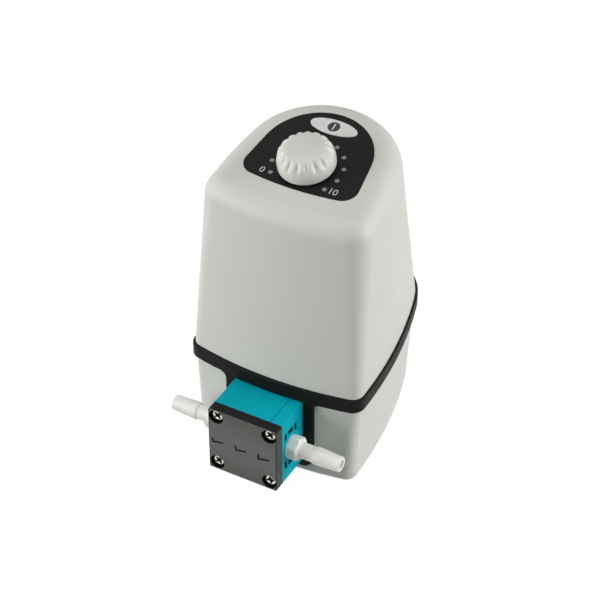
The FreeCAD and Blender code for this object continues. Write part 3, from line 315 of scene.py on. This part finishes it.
def rubber(name, colour, roughness, **fixed):
    """Soft matt surface that drifts between darker and paler."""
    material, tree = new_material(name)
    place = object_coordinates(tree)
    drift = spread(tree, noise(tree, place, 12 * MM, detail=3.0), 0.0, 1.0)
    base = mix_colours(tree, drift, shade(colour, 0.8), shade(colour, 1.25))
    gloss = spread(tree, noise(tree, place, 3 * MM, detail=4.0), roughness - 0.1, roughness + 0.08)
    normal = bump(tree, noise(tree, place, 0.3 * MM, detail=3.0), 0.008 * MM)
    surface(tree, base, gloss, normal, **fixed)
    return material


def metal(name, colour, roughness, brushing=BRUSHED):
    """Metal with fine marks, even or brushed."""
    material, tree = new_material(name)
    stretch = add_node(tree, "ShaderNodeMapping")
    stretch.inputs["Scale"].default_value = brushing
    tree.links.new(object_coordinates(tree), stretch.inputs["Vector"])
    marks = noise(tree, stretch.outputs["Vector"], 1.2 * MM, detail=5.0, roughness=0.7)
    base = mix_colours(tree, marks, shade(colour, 0.86), colour)
    gloss = spread(tree, marks, roughness - 0.08, roughness + 0.12)
    normal = bump(tree, marks, 0.004 * MM)
    surface(tree, base, gloss, normal, metallic=1.0)
    return material


def natural_plastic(name):
    """Unpigmented plastic: milky, with light that goes some way in, and a faint painted glow all over."""
    material, tree = new_material(name)
    place = object_coordinates(tree)
    drift = spread(tree, noise(tree, place, 6 * MM, detail=3.0), 0.0, 1.0)
    base = mix_colours(tree, drift, (0.76, 0.76, 0.72), (0.82, 0.82, 0.78))
    gloss = spread(tree, noise(tree, place, 3 * MM, detail=3.0), 0.3, 0.44)
    normal = bump(tree, noise(tree, place, 0.8 * MM, detail=3.0), 0.012 * MM)
    # The faint white emission is a painted glow that brightens the whole part.
    surface(tree, base, gloss, normal, subsurface_weight=0.4, subsurface_radius=(3 * MM, 3 * MM, 3 * MM),
            subsurface_scale=1.0, emission_color=(1.0, 1.0, 0.95, 1.0), emission_strength=0.09)
    return material


def near_head_screws(tree, side, rise):
    """1 in the wells round the axes of the head's four screws, else 0."""
    offsets = [calculate(tree, "SUBTRACT", distance, SCREW_AT) for distance in (side, rise)]
    squares = [calculate(tree, "MULTIPLY", offset, offset) for offset in offsets]
    return calculate(tree, "LESS_THAN", calculate(tree, "ADD", *squares), SCREW_WELL_SHADE_R ** 2)


def pressure_plate_finish(name, box):
    """Grey filled plastic, mottled in front, with painted shade: the face darker away from its middle, black
    lines along its side edges, darker green-grey sides that turn black towards its top and bottom, and near
    black screw wells.
    """
    material, tree = new_material(name)
    place = object_coordinates(tree)
    low, high = box
    middle_z = (low.z + high.z) / 2
    half_h = high.z - middle_z
    x, y, z = split(tree, place)
    side = calculate(tree, "ABSOLUTE", x)
    rise = from_middle(tree, z, middle_z)
    mottle = noise(tree, place, 0.7 * MM, detail=5.0, roughness=0.75)
    fine = spread(tree, mottle, 0.0, 1.0, start=0.35, end=0.65)
    cloud = spread(tree, noise(tree, place, 5 * MM, detail=3.0), 0.0, 1.0)
    # Painted shade: the face darkens away from its middle.
    face_shade = spread(tree, rise, 0.0, 1.0, *PLATE_SHADE_FADE)
    # Painted shade: the faces behind the front turn black towards the plate's top and bottom.
    end = spread(tree, rise, 0.0, 1.0, half_h - PLATE_SHADE_END_H, half_h)
    behind = spread(tree, y, 0.0, 1.0, *(low.y + depth for depth in PLATE_FACE_END))
    # Painted shade: the screw wells turn near black.
    well_shade = calculate(tree, "MULTIPLY", behind, near_head_screws(tree, side, rise))
    # Painted shade: a black line along the face's side edges.
    edge_line_shade = spread(tree, side, 0.0, 1.0, *(high.x - distance for distance in PLATE_SHADE_LINE))
    base = mix_colours(tree, fine, (0.15, 0.158, 0.142), (0.21, 0.217, 0.2))
    base = mix_colours(tree, cloud, base, (0.165, 0.172, 0.165))
    base = mix_colours(tree, face_shade, base, (0.128, 0.134, 0.122))
    base = mix_colours(tree, edge_line_shade, base, (0.012, 0.013, 0.011))
    # Painted shade: the plate's sides darker green-grey, black at their ends.
    edge = mix_colours(tree, end, (0.062, 0.08, 0.064), (0.010, 0.011, 0.013))
    base = mix_colours(tree, behind, base, edge)
    base = mix_colours(tree, well_shade, base, (0.004, 0.004, 0.003))
    gloss = spread(tree, fine, 0.5, 0.66)
    normal = bump(tree, noise(tree, place, 0.5 * MM, detail=4.0, roughness=0.7), 0.03 * MM)
    surface(tree, base, gloss, normal, specular_ior_level=0.12)
    return material


def head_finish(name, colour, box, port):
    """Moulded plastic whose pockets beside the port are painted near black as shade."""
    material, tree = new_material(name)
    place = object_coordinates(tree)
    x, y, z = split(tree, place)
    depth = calculate(tree, "SUBTRACT", box[1].x, calculate(tree, "ABSOLUTE", x))
    pocket_shade = spread(tree, depth, 0.0, 1.0, *POCKET_SHADE_FADE)
    limits = (
        (depth, POCKET_DEPTH),
        (from_middle(tree, y, port.y), POCKET_HALF_W),
        (from_middle(tree, z, port.z), POCKET_HALF_H),
    )
    for value, limit in limits:
        pocket_shade = calculate(tree, "MULTIPLY", pocket_shade, calculate(tree, "LESS_THAN", value, limit))
    drift = spread(tree, noise(tree, place, 30 * MM), 0.0, 1.0)
    base = mix_colours(tree, drift, shade(colour, 0.93), shade(colour, 1.07))
    # Painted shade: the pockets turn near black.
    base = mix_colours(tree, pocket_shade, base, shade(colour, 0.04))
    gloss = spread(tree, noise(tree, place, 9 * MM, detail=4.0), 0.5, 0.6)
    normal = bump(tree, noise(tree, place, 0.6 * MM, detail=3.0), 0.012 * MM)
    surface(tree, base, gloss, normal, specular_ior_level=0.06)
    return material


def print_and_shade_paint(name, colour, roughness=0.5, **fixed):
    """Ink, a little thin in places; also used as flat paint for painted shade and painted shadow."""
    material, tree = new_material(name)
    place = object_coordinates(tree)
    thin = spread(tree, noise(tree, place, 0.4 * MM, detail=3.0), 0.0, 0.25)
    base = mix_colours(tree, thin, colour, shade(colour, 0.6))
    gloss = spread(tree, thin, roughness, roughness + 0.15)
    surface(tree, base, gloss, **fixed)
    return material


SHELL = (0.70, 0.715, 0.655)
TURQUOISE = (0.001, 0.41, 0.50)
INLAY = (0.014, 0.0145, 0.014)
PORT_MIDDLE = sum(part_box("hose_connector_right"), Vector()) / 2
FINISHES = {
    "housing": moulded_plastic("housing", SHELL, roughness=0.46, grain=0.45 * MM, depth=0.008 * MM,
                               mottle=0.02, specular_ior_level=0.3),
    "band": rubber("band", (0.006, 0.0065, 0.006), roughness=0.55, specular_ior_level=0.1),
    "panel": moulded_plastic("panel", INLAY, roughness=0.5, grain=0.3 * MM, depth=0.01 * MM,
                             mottle=0.12, specular_ior_level=0.08),
    "key": speckled_plastic("key", (0.74, 0.75, 0.72), fleck=(0.5, 0.51, 0.5), roughness=0.5,
                            grain=0.45 * MM, amount=0.3, depth=0.01 * MM),
    "knob": moulded_plastic("knob", (0.69, 0.70, 0.64), roughness=0.36, grain=0.8 * MM, depth=0.004 * MM,
                            mottle=0.02),
    "head": head_finish("head", TURQUOISE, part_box("head_body"), PORT_MIDDLE),
    "plate": pressure_plate_finish("plate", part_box("pressure_plate")),
    "natural": natural_plastic("natural"),
    "elastomer": rubber("elastomer", (0.02, 0.02, 0.02), roughness=0.65),
    "white_film": rubber("white_film", (0.7, 0.7, 0.68), roughness=0.4),
    "steel": metal("steel", (0.66, 0.65, 0.62), roughness=0.28),
    "bright": metal("bright", (0.80, 0.78, 0.70), roughness=0.24, brushing=UNBRUSHED),
    # Painted shade: the screws' cross recesses drawn near black, made like print.
    "cross": print_and_shade_paint("cross", (0.006, 0.006, 0.004), roughness=0.6, specular_ior_level=0.1),
    "cast": metal("cast", (0.5, 0.5, 0.51), roughness=0.45, brushing=UNBRUSHED),
    "magnet": metal("magnet", (0.07, 0.07, 0.075), roughness=0.5, brushing=UNBRUSHED),
    "copper": metal("copper", (0.60, 0.24, 0.09), roughness=0.35),
    "board": moulded_plastic("board", (0.012, 0.11, 0.04), roughness=0.35, grain=0.6 * MM, depth=0.01 * MM,
                             mottle=0.1),
    "black": moulded_plastic("black", (0.018, 0.018, 0.018), roughness=0.42, grain=0.4 * MM, depth=0.01 * MM,
                             mottle=0.1),
    "brass": metal("brass", (0.72, 0.55, 0.27), roughness=0.3),
}

FINISH_OF_NODE = {
    "upper_housing": "housing", "lower_housing": "housing", "seam_band": "band",
    "rubber_feet": "elastomer", "housing_screws": "steel", "control_panel": "panel",
    "power_button": "key", "power_switch": "black", "potentiometer": "cast",
    "potentiometer_nut": "brass", "potentiometer_shaft": "brass", "speed_knob": "knob",
    "control_board": "board", "control_board_screws": "steel", "pressure_plate": "plate",
    "head_body": "head", "head_screws": "steel", "valve_seals": "elastomer",
    "inlet_valve": "elastomer", "outlet_valve": "elastomer", "hose_connector_left": "natural",
    "hose_connector_right": "natural", "connector_seals": "elastomer", "diaphragm": "white_film",
    "diaphragm_clamp": "natural", "connecting_rod": "cast", "rod_bearing": "steel",
    "eccentric": "steel", "motor_shaft": "steel", "motor_rotor": "magnet", "motor_stator": "steel",
    "motor_windings": "copper", "motor_can": "cast", "motor_cap": "cast", "motor_bearings": "steel",
    "motor_screws": "steel", "crankcase": "cast", "pump_bracket": "steel", "bracket_screws": "steel",
    "vibration_mounts": "elastomer", "power_inlet": "black", "inlet_pins": "brass",
    "power_board": "board", "power_board_screws": "steel", "power_transformer": "black",
    "power_capacitors": "cast",
}


def finish_nodes():
    for name, finish in FINISH_OF_NODE.items():
        mesh = NODES[name].data
        mesh.materials.clear()
        mesh.materials.append(FINISHES[finish])


# Meshes, as lists of vertices and faces

def on_roof(x, y, z):
    """Point of the roof's own frame, in the part's frame."""
    return ROOF_ORIGIN + ROOF_RIGHT * x + ROOF_UP * y + ROOF_NORMAL * z


def turned(x, y, angle):
    return x * math.cos(angle) - y * math.sin(angle), x * math.sin(angle) + y * math.cos(angle)


def walls(first, rings, sides):
    """Faces between rings of the same number of vertices that follow each other from index first."""
    faces = []
    for level in range(rings - 1):
        a, b = first + level * sides, first + (level + 1) * sides
        for i in range(sides):
            j = (i + 1) % sides
            faces.append((a + i, b + i, b + j, a + j))
    return faces


def joined(meshes):
    """Several meshes as one."""
    verts, faces = [], []
    for more_verts, more_faces in meshes:
        faces += [tuple(len(verts) + index for index in face) for face in more_faces]
        verts += more_verts
    return verts, faces


def disc_mesh(centre, radius, bottom, top, sides):
    """Thin disc on the roof, whose edge turns in a little towards its top."""
    edge = top * DISC_EDGE_START + bottom * (1 - DISC_EDGE_START)
    rings = ((radius, bottom), (radius, edge), (radius * DISC_TOP_R, top))
    verts = []
    for ring_r, z in rings:
        for i in range(sides):
            angle = 2 * math.pi * i / sides
            x = centre[0] + ring_r * math.sin(angle)
            y = centre[1] + ring_r * math.cos(angle)
            verts.append(on_roof(x, y, z))
    faces = walls(0, len(rings), sides)
    faces.append(tuple(reversed(range(2 * sides, 3 * sides))))
    faces.append(tuple(range(sides)))
    return verts, faces


def dome_outlines():
    """Height of the knob's top, then radius, height and outward lean of its crown, shoulder and skirt."""
    shoulder_end = KNOB_R - SHOULDER_DROP * math.tan(KNOB_DRAFT)
    centre_r = shoulder_end - SHOULDER_R * math.cos(KNOB_DRAFT)
    centre_h = KNOB_TOP_H - SHOULDER_R
    crown_r = centre_r / math.sin(CROWN_LEAN) + SHOULDER_R
    crown_h = centre_h + SHOULDER_R * math.cos(CROWN_LEAN) - crown_r * math.cos(CROWN_LEAN)
    outlines = []
    for i in range(1, CROWN_STEPS):
        lean = CROWN_LEAN * i / CROWN_STEPS
        outlines.append((crown_r * math.sin(lean), crown_h + crown_r * math.cos(lean), lean))
    for i in range(SHOULDER_STEPS + 1):
        lean = CROWN_LEAN + (math.pi / 2 - KNOB_DRAFT - CROWN_LEAN) * i / SHOULDER_STEPS
        radius = centre_r + SHOULDER_R * math.sin(lean)
        outlines.append((radius, centre_h + SHOULDER_R * math.cos(lean), lean))
    skirt_top = outlines[-1][1]
    for i in range(1, SKIRT_STEPS + 1):
        share = i / SKIRT_STEPS
        radius = shoulder_end + (KNOB_R - shoulder_end) * share
        outlines.append((radius, skirt_top + (SKIRT_H - skirt_top) * share, math.pi / 2))
    return crown_h + crown_r, outlines


def knob_outlines():
    """Height of the knob's top, then radius, height, lean and flute depth of its outlines, downwards."""
    top, dome = dome_outlines()
    first_fluted = CROWN_STEPS - 1
    steps = len(dome) - 1 - first_fluted
    outlines = []
    for i, (radius, height, lean) in enumerate(dome):
        share = min(max(i - first_fluted, 0) / steps / LOBE_END, 1.0)
        outlines.append((radius, height, lean, LOBE_DEPTH * math.sin(math.pi * share) ** 2))
    for i in range(KNOB_EDGE_STEPS + 1):
        turn = math.pi / 2 * i / KNOB_EDGE_STEPS
        radius = KNOB_R - KNOB_EDGE_R * (1 - math.cos(turn))
        outlines.append((radius, KNOB_GAP + KNOB_EDGE_R * (1 - math.sin(turn)), math.pi / 2, 0.0))
    foot = ((FOOT_R, KNOB_GAP), (FOOT_R, FOOT_GAP), (CAVITY_R, FOOT_GAP), (CAVITY_R, CAVITY_H))
    outlines += [(radius, height, math.pi / 2, 0.0) for radius, height in foot]
    return top, outlines


def knob_mesh():
    """Domed knob with a smooth skirt, whose flutes deepen softly from the crown."""
    sides = LOBES * LOBE_POINTS
    top, outlines = knob_outlines()
    verts = [on_roof(0.0, 0.0, top)]
    for radius, height, lean, depth in outlines:
        for i in range(sides):
            wave = 2 * math.pi * i / LOBE_POINTS
            angle = wave / LOBES + LOBE_TURN
            sunk = depth * ((1 - math.cos(wave)) / 2) ** LOBE_SHARPNESS
            x, y = turned(radius - sunk * math.sin(lean), 0.0, angle)
            verts.append(on_roof(x, y, height - sunk * math.cos(lean)))
    faces = [(0, 1 + i, 1 + (i + 1) % sides) for i in range(sides)]
    faces += walls(1, len(outlines), sides)
    faces.append(tuple(reversed(range(len(verts) - sides, len(verts)))))
    return verts, faces


def cross_points(half, turn):
    """Outline of a cross, counterclockwise from beside its first arm's end, three points to each arm."""
    arm = ((half, -CROSS_HALF_W), (half, CROSS_HALF_W), (CROSS_HALF_W, CROSS_HALF_W))
    return [turned(x, y, turn + quarter * math.pi / 2) for quarter in range(4) for x, y in arm]


def bridge(outer, outer_angles, inner, inner_angles):
    """Triangles between two loops, each given by its first index and its points' rising angles."""
    def next_angle(angles, i):
        return angles[(i + 1) % len(angles)] + (2 * math.pi if i + 1 >= len(angles) else 0.0)

    faces = []
    outer_count, inner_count = len(outer_angles), len(inner_angles)
    i = j = 0
    while i < outer_count or j < inner_count:
        outer_first = next_angle(outer_angles, i) <= next_angle(inner_angles, j)
        a, b = outer + i % outer_count, inner + j % inner_count
        if j >= inner_count or (i < outer_count and outer_first):
            faces.append((a, outer + (i + 1) % outer_count, b))
            i += 1
        else:
            faces.append((a, inner + (j + 1) % inner_count, b))
            j += 1
    return faces


def cross_faces(rim, floor):
    """Walls and floor of a cross recess, from the first indices of its outlines at rim and floor."""
    faces = []
    for i in range(CROSS_POINTS):
        j = (i + 1) % CROSS_POINTS
        faces.append((rim + i, rim + j, floor + j, floor + i))
    arms = range(0, CROSS_POINTS, 3)
    for arm in arms:
        faces.append((floor + arm, floor + arm + 1, floor + arm + 2, floor + (arm - 1) % CROSS_POINTS))
    faces.append(tuple(floor + arm + 2 for arm in arms))
    return faces


def screw_mesh(centre, turn):
    """Screw head that faces the front, with its cross recess as its last faces."""
    step = 2 * math.pi / SCREW_SIDES
    outlines = [(SCREW_HEAD_R, SCREW_SEAT)]
    outlines += [(SCREW_HEAD_R - inset, SCREW_TOP + drop) for inset, drop in SCREW_EDGE]
    points = []
    for radius, depth in outlines:
        points += [(*turned(radius, 0.0, turn + i * step), depth) for i in range(SCREW_SIDES)]
    flat = len(points) - SCREW_SIDES
    rim = len(points)
    rim_points = cross_points(CROSS_HALF, turn)
    floor_points = cross_points(CROSS_HALF - CROSS_TAPER, turn)
    points += [(x, z, SCREW_TOP) for x, z in rim_points]
    points += [(x, z, SCREW_TOP + CROSS_DEPTH) for x, z in floor_points]
    verts = [(centre[0] + x, centre[1] + depth, centre[2] + z) for x, z, depth in points]
    ring_angles = [i * step for i in range(SCREW_SIDES)]
    rim_angles = [(math.atan2(z, x) - turn) % (2 * math.pi) for x, z in rim_points]
    rim_angles[0] -= 2 * math.pi
    faces = [tuple(reversed(face)) for face in walls(0, len(outlines), SCREW_SIDES)]
    faces += bridge(flat, ring_angles, rim, rim_angles)
    faces += cross_faces(rim, rim + CROSS_POINTS)
    return verts, faces


def stroke_mesh(points, face_y):
    """Thin mitred stroke on the plate's face, at the depth face_y, through three (x, height) points."""
    flat = [Vector((x * MM, z * MM)) for x, z in points]
    runs = [(flat[i + 1] - flat[i]).normalized() for i in range(len(flat) - 1)]
    sides = []
    for i, point in enumerate(flat):
        before = runs[max(i - 1, 0)]
        after = runs[min(i, len(runs) - 1)]
        normal = Vector((-(before + after).y, (before + after).x)).normalized()
        across = Vector((-before.y, before.x))
        offset = normal * (STROKE_W / 2 / max(LEAST_MITRE, normal.dot(across)))
        sides += [point + offset, point - offset]
    verts = [(point.x, face_y + depth, point.y) for depth in (PRINT_T / 2, -PRINT_T) for point in sides]
    count = len(sides)
    faces = []
    for a in range(0, count - 2, 2):
        b, c, d = a + 1, a + 3, a + 2
        faces += [(count + a, count + b, count + c, count + d), (d, c, b, a)]
        faces += [(a, count + a, count + d, d), (c, count + c, count + b, b)]
    end = count - 2
    faces += [(0, 1, count + 1, count), (end + 1, end, count + end, count + end + 1)]
    return verts, faces


# Pieces

def add_object(name, data):
    thing = bpy.data.objects.new(name, data)
    bpy.context.scene.collection.objects.link(thing)
    return thing


def finish_piece(piece, material, body):
    piece.data.materials.clear()
    piece.data.materials.append(material)
    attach(piece, body)


def add_piece(name, mesh_parts, material, body, smooth=False):
    verts, faces = mesh_parts
    mesh = bpy.data.meshes.new(name)
    mesh.from_pydata([tuple(vert) for vert in verts], [], faces)
    mesh.update()
    for polygon in mesh.polygons:
        polygon.use_smooth = smooth
    piece = add_object(name, mesh)
    finish_piece(piece, material, body)
    return piece


def add_knob():
    knob = add_piece("knob_dress", knob_mesh(), FINISHES["knob"], "knob", smooth=True)
    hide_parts("speed_knob")


def add_head_screws():
    """The four screw heads as one piece, with cross recesses painted near black as shade."""
    low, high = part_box("pressure_plate")
    middle_z = (low.z + high.z) / 2
    meshes = []
    for (side, end), turn in SCREW_TURNS.items():
        centre = (side * SCREW_AT, low.y, middle_z + end * SCREW_AT)
        meshes.append(screw_mesh(centre, math.radians(turn)))
    screws = add_piece("head_screw_dress", joined(meshes), FINISHES["bright"], "housing")
    screws.data.materials.append(FINISHES["cross"])
    per_screw = len(meshes[0][1])
    per_cross = len(cross_faces(0, CROSS_POINTS))
    for polygon in screws.data.polygons:
        in_cross = polygon.index % per_screw >= per_screw - per_cross
        polygon.material_index = 1 if in_cross else 0
        polygon.use_smooth = not in_cross
    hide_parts("head_screws")


def add_dial_dots():
    meshes = []
    for i in range(DOT_COUNT):
        angle = DIAL_HALF_ANGLE * (2 * i / (DOT_COUNT - 1) - 1)
        centre = (DOT_RING_R * math.sin(angle), DOT_RING_R * math.cos(angle))
        meshes.append(disc_mesh(centre, DOT_R, -PRINT_T / 2, PRINT_T, DOT_SIDES))
    ink = print_and_shade_paint("dial_dot_ink", (0.25, 0.255, 0.25))
    add_piece("dial_dots", joined(meshes), ink, "housing")


def add_numeral(name, text, x, y, material):
    """Printed numeral that reads from the front, flat on the panel."""
    curve = bpy.data.curves.new(name, "FONT")
    curve.body = text
    curve.size = NUMERAL_SIZE
    curve.align_x = "CENTER"
    curve.align_y = "CENTER"
    curve.extrude = PRINT_T / 2
    source = bpy.data.objects.new(name + "_outline", curve)
    mesh = bpy.data.meshes.new_from_object(source)
    bpy.data.objects.remove(source)
    place = Matrix((ROOF_RIGHT, ROOF_UP, ROOF_NORMAL)).transposed().to_4x4()
    place.translation = on_roof(x, y, PRINT_T / 2)
    mesh.transform(place)
    finish_piece(add_object(name, mesh), material, "housing")


def add_numerals():
    ink = print_and_shade_paint("numeral_ink", (0.62, 0.63, 0.62))
    y = DOT_RING_R * math.cos(DIAL_HALF_ANGLE)
    for text, side in (("0", -1), ("10", 1)):
        add_numeral("dial_numeral_" + text, text, side * NUMERAL_X, y, ink)


def add_power_mark():
    """Dark disc on the key with a pale bar on it."""
    disc = disc_mesh((0.0, KEY_BACK), MARK_R, KEY_PROUD - PRINT_T / 2, KEY_PROUD + PRINT_T, MARK_SIDES)
    disc_ink = print_and_shade_paint("power_mark_ink", (0.016, 0.016, 0.017), roughness=0.4)
    add_piece("power_mark_disc", disc, disc_ink, "button")
    half_w, half_h = MARK_BAR_W / 2, MARK_BAR_H / 2
    corners = ((-half_w, -half_h), (half_w, -half_h), (half_w, half_h), (-half_w, half_h))
    heights = (KEY_PROUD + PRINT_T / 2, KEY_PROUD + MARK_BAR_PROUD)
    verts = [on_roof(x, KEY_BACK + y, z) for z in heights for x, y in corners]
    faces = [(3, 2, 1, 0), (4, 5, 6, 7)]
    faces += [(i, (i + 1) % 4, 4 + (i + 1) % 4, 4 + i) for i in range(4)]
    bar_ink = print_and_shade_paint("power_bar_ink", (0.75, 0.75, 0.74))
    add_piece("power_mark_bar", (verts, faces), bar_ink, "button")


def add_flow_arrow_shadows():
    # Painted shadow: dark strokes on the sunk flow arrows' left and lower walls.
    face_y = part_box("pressure_plate")[0].y
    marks = joined(stroke_mesh(points, face_y) for points in FLOW_ARROW_SHADOWS)
    ink = print_and_shade_paint("flow_arrow_shadow_paint", (0.004, 0.004, 0.004), roughness=0.6, specular_ior_level=0.05)
    add_piece("flow_arrow_shadows", marks, ink, "housing")


# Studio

def only_seen(tree, seen, other):
    """Shader that is seen by camera, mirror and glass rays; other rays meet the other one."""
    rays = add_node(tree, "ShaderNodeLightPath")
    share = rays.outputs["Is Camera Ray"]
    for name in ("Is Glossy Ray", "Is Transmission Ray"):
        share = calculate(tree, "MAXIMUM", share, rays.outputs[name])
    mix = add_node(tree, "ShaderNodeMixShader")
    tree.links.new(share, mix.inputs[0])
    tree.links.new(other, mix.inputs[1])
    tree.links.new(seen, mix.inputs[2])
    return mix.outputs[0]


def background(tree, strength):
    node = add_node(tree, "ShaderNodeBackground")
    node.inputs["Color"].default_value = (1, 1, 1, 1)
    node.inputs["Strength"].default_value = strength
    return node.outputs[0]


def add_world():
    world = bpy.data.worlds.new("studio")
    world.use_nodes = True
    tree = world.node_tree
    tree.nodes.clear()
    output = add_node(tree, "ShaderNodeOutputWorld")
    shader = only_seen(tree, background(tree, 1.0), background(tree, WORLD_FILL))
    tree.links.new(shader, output.inputs["Surface"])
    bpy.context.scene.world = world


def matt(tree, level):
    node = add_node(tree, "ShaderNodeBsdfDiffuse")
    node.inputs["Color"].default_value = (level, level, level, 1)
    return node.outputs[0]


def add_floor():
    """White floor that keeps the object's shadow and throws little light back at it."""
    material, tree = new_material("floor")
    glow = add_node(tree, "ShaderNodeEmission")
    glow.inputs["Strength"].default_value = GLOW_LEVEL
    blend = add_node(tree, "ShaderNodeMixShader")
    blend.inputs[0].default_value = FLOOR_GLOW_SHARE
    tree.links.new(matt(tree, FLOOR_WHITE), blend.inputs[1])
    tree.links.new(glow.outputs[0], blend.inputs[2])
    output = add_node(tree, "ShaderNodeOutputMaterial")
    shader = only_seen(tree, blend.outputs[0], matt(tree, FLOOR_GREY))
    tree.links.new(shader, output.inputs["Surface"])
    mesh = bpy.data.meshes.new("floor")
    corners = [(x * FLOOR_HALF, y * FLOOR_HALF, 0) for x, y in ((-1, -1), (1, -1), (1, 1), (-1, 1))]
    mesh.from_pydata(corners, [], [(0, 1, 2, 3)])
    mesh.materials.append(material)
    add_object("floor", mesh)


def aim(thing, target):
    direction = target - thing.location
    thing.rotation_euler = direction.to_track_quat("-Z", "Y").to_euler()


def direction_to(azimuth, elevation):
    """Direction from the part, with the azimuth from the front towards the right."""
    flat = math.cos(elevation)
    return Vector((math.sin(azimuth) * flat, -math.cos(azimuth) * flat, math.sin(elevation)))


def add_lights():
    """Soft lamps; one at level 1 lights a facing surface so that it renders as its colour is written."""
    for name, level, size, azimuth, elevation, distance in LIGHTS:
        lamp = bpy.data.lights.new(name, "AREA")
        lamp.energy = level * (math.pi * distance) ** 2
        lamp.size = size
        light = add_object(name, lamp)
        direction = direction_to(math.radians(azimuth), math.radians(elevation))
        light.location = CAMERA_TARGET + direction * distance
        aim(light, CAMERA_TARGET)


def add_camera():
    camera = bpy.data.cameras.new("camera")
    camera.lens = CAMERA_LENS
    camera.sensor_width = SENSOR_WIDTH
    camera.clip_end = CAMERA_FAR
    viewer = add_object("camera", camera)
    viewer.location = CAMERA_TARGET + direction_to(CAMERA_AZIMUTH, CAMERA_ELEVATION) * CAMERA_DISTANCE
    aim(viewer, CAMERA_TARGET)
    bpy.context.scene.camera = viewer


add_camera()
add_world()
add_floor()
add_lights()
finish_nodes()
add_knob()
add_head_screws()
add_dial_dots()
add_numerals()
add_power_mark()
add_flow_arrow_shadows()
bpy.context.scene.view_settings.view_transform = "Standard"
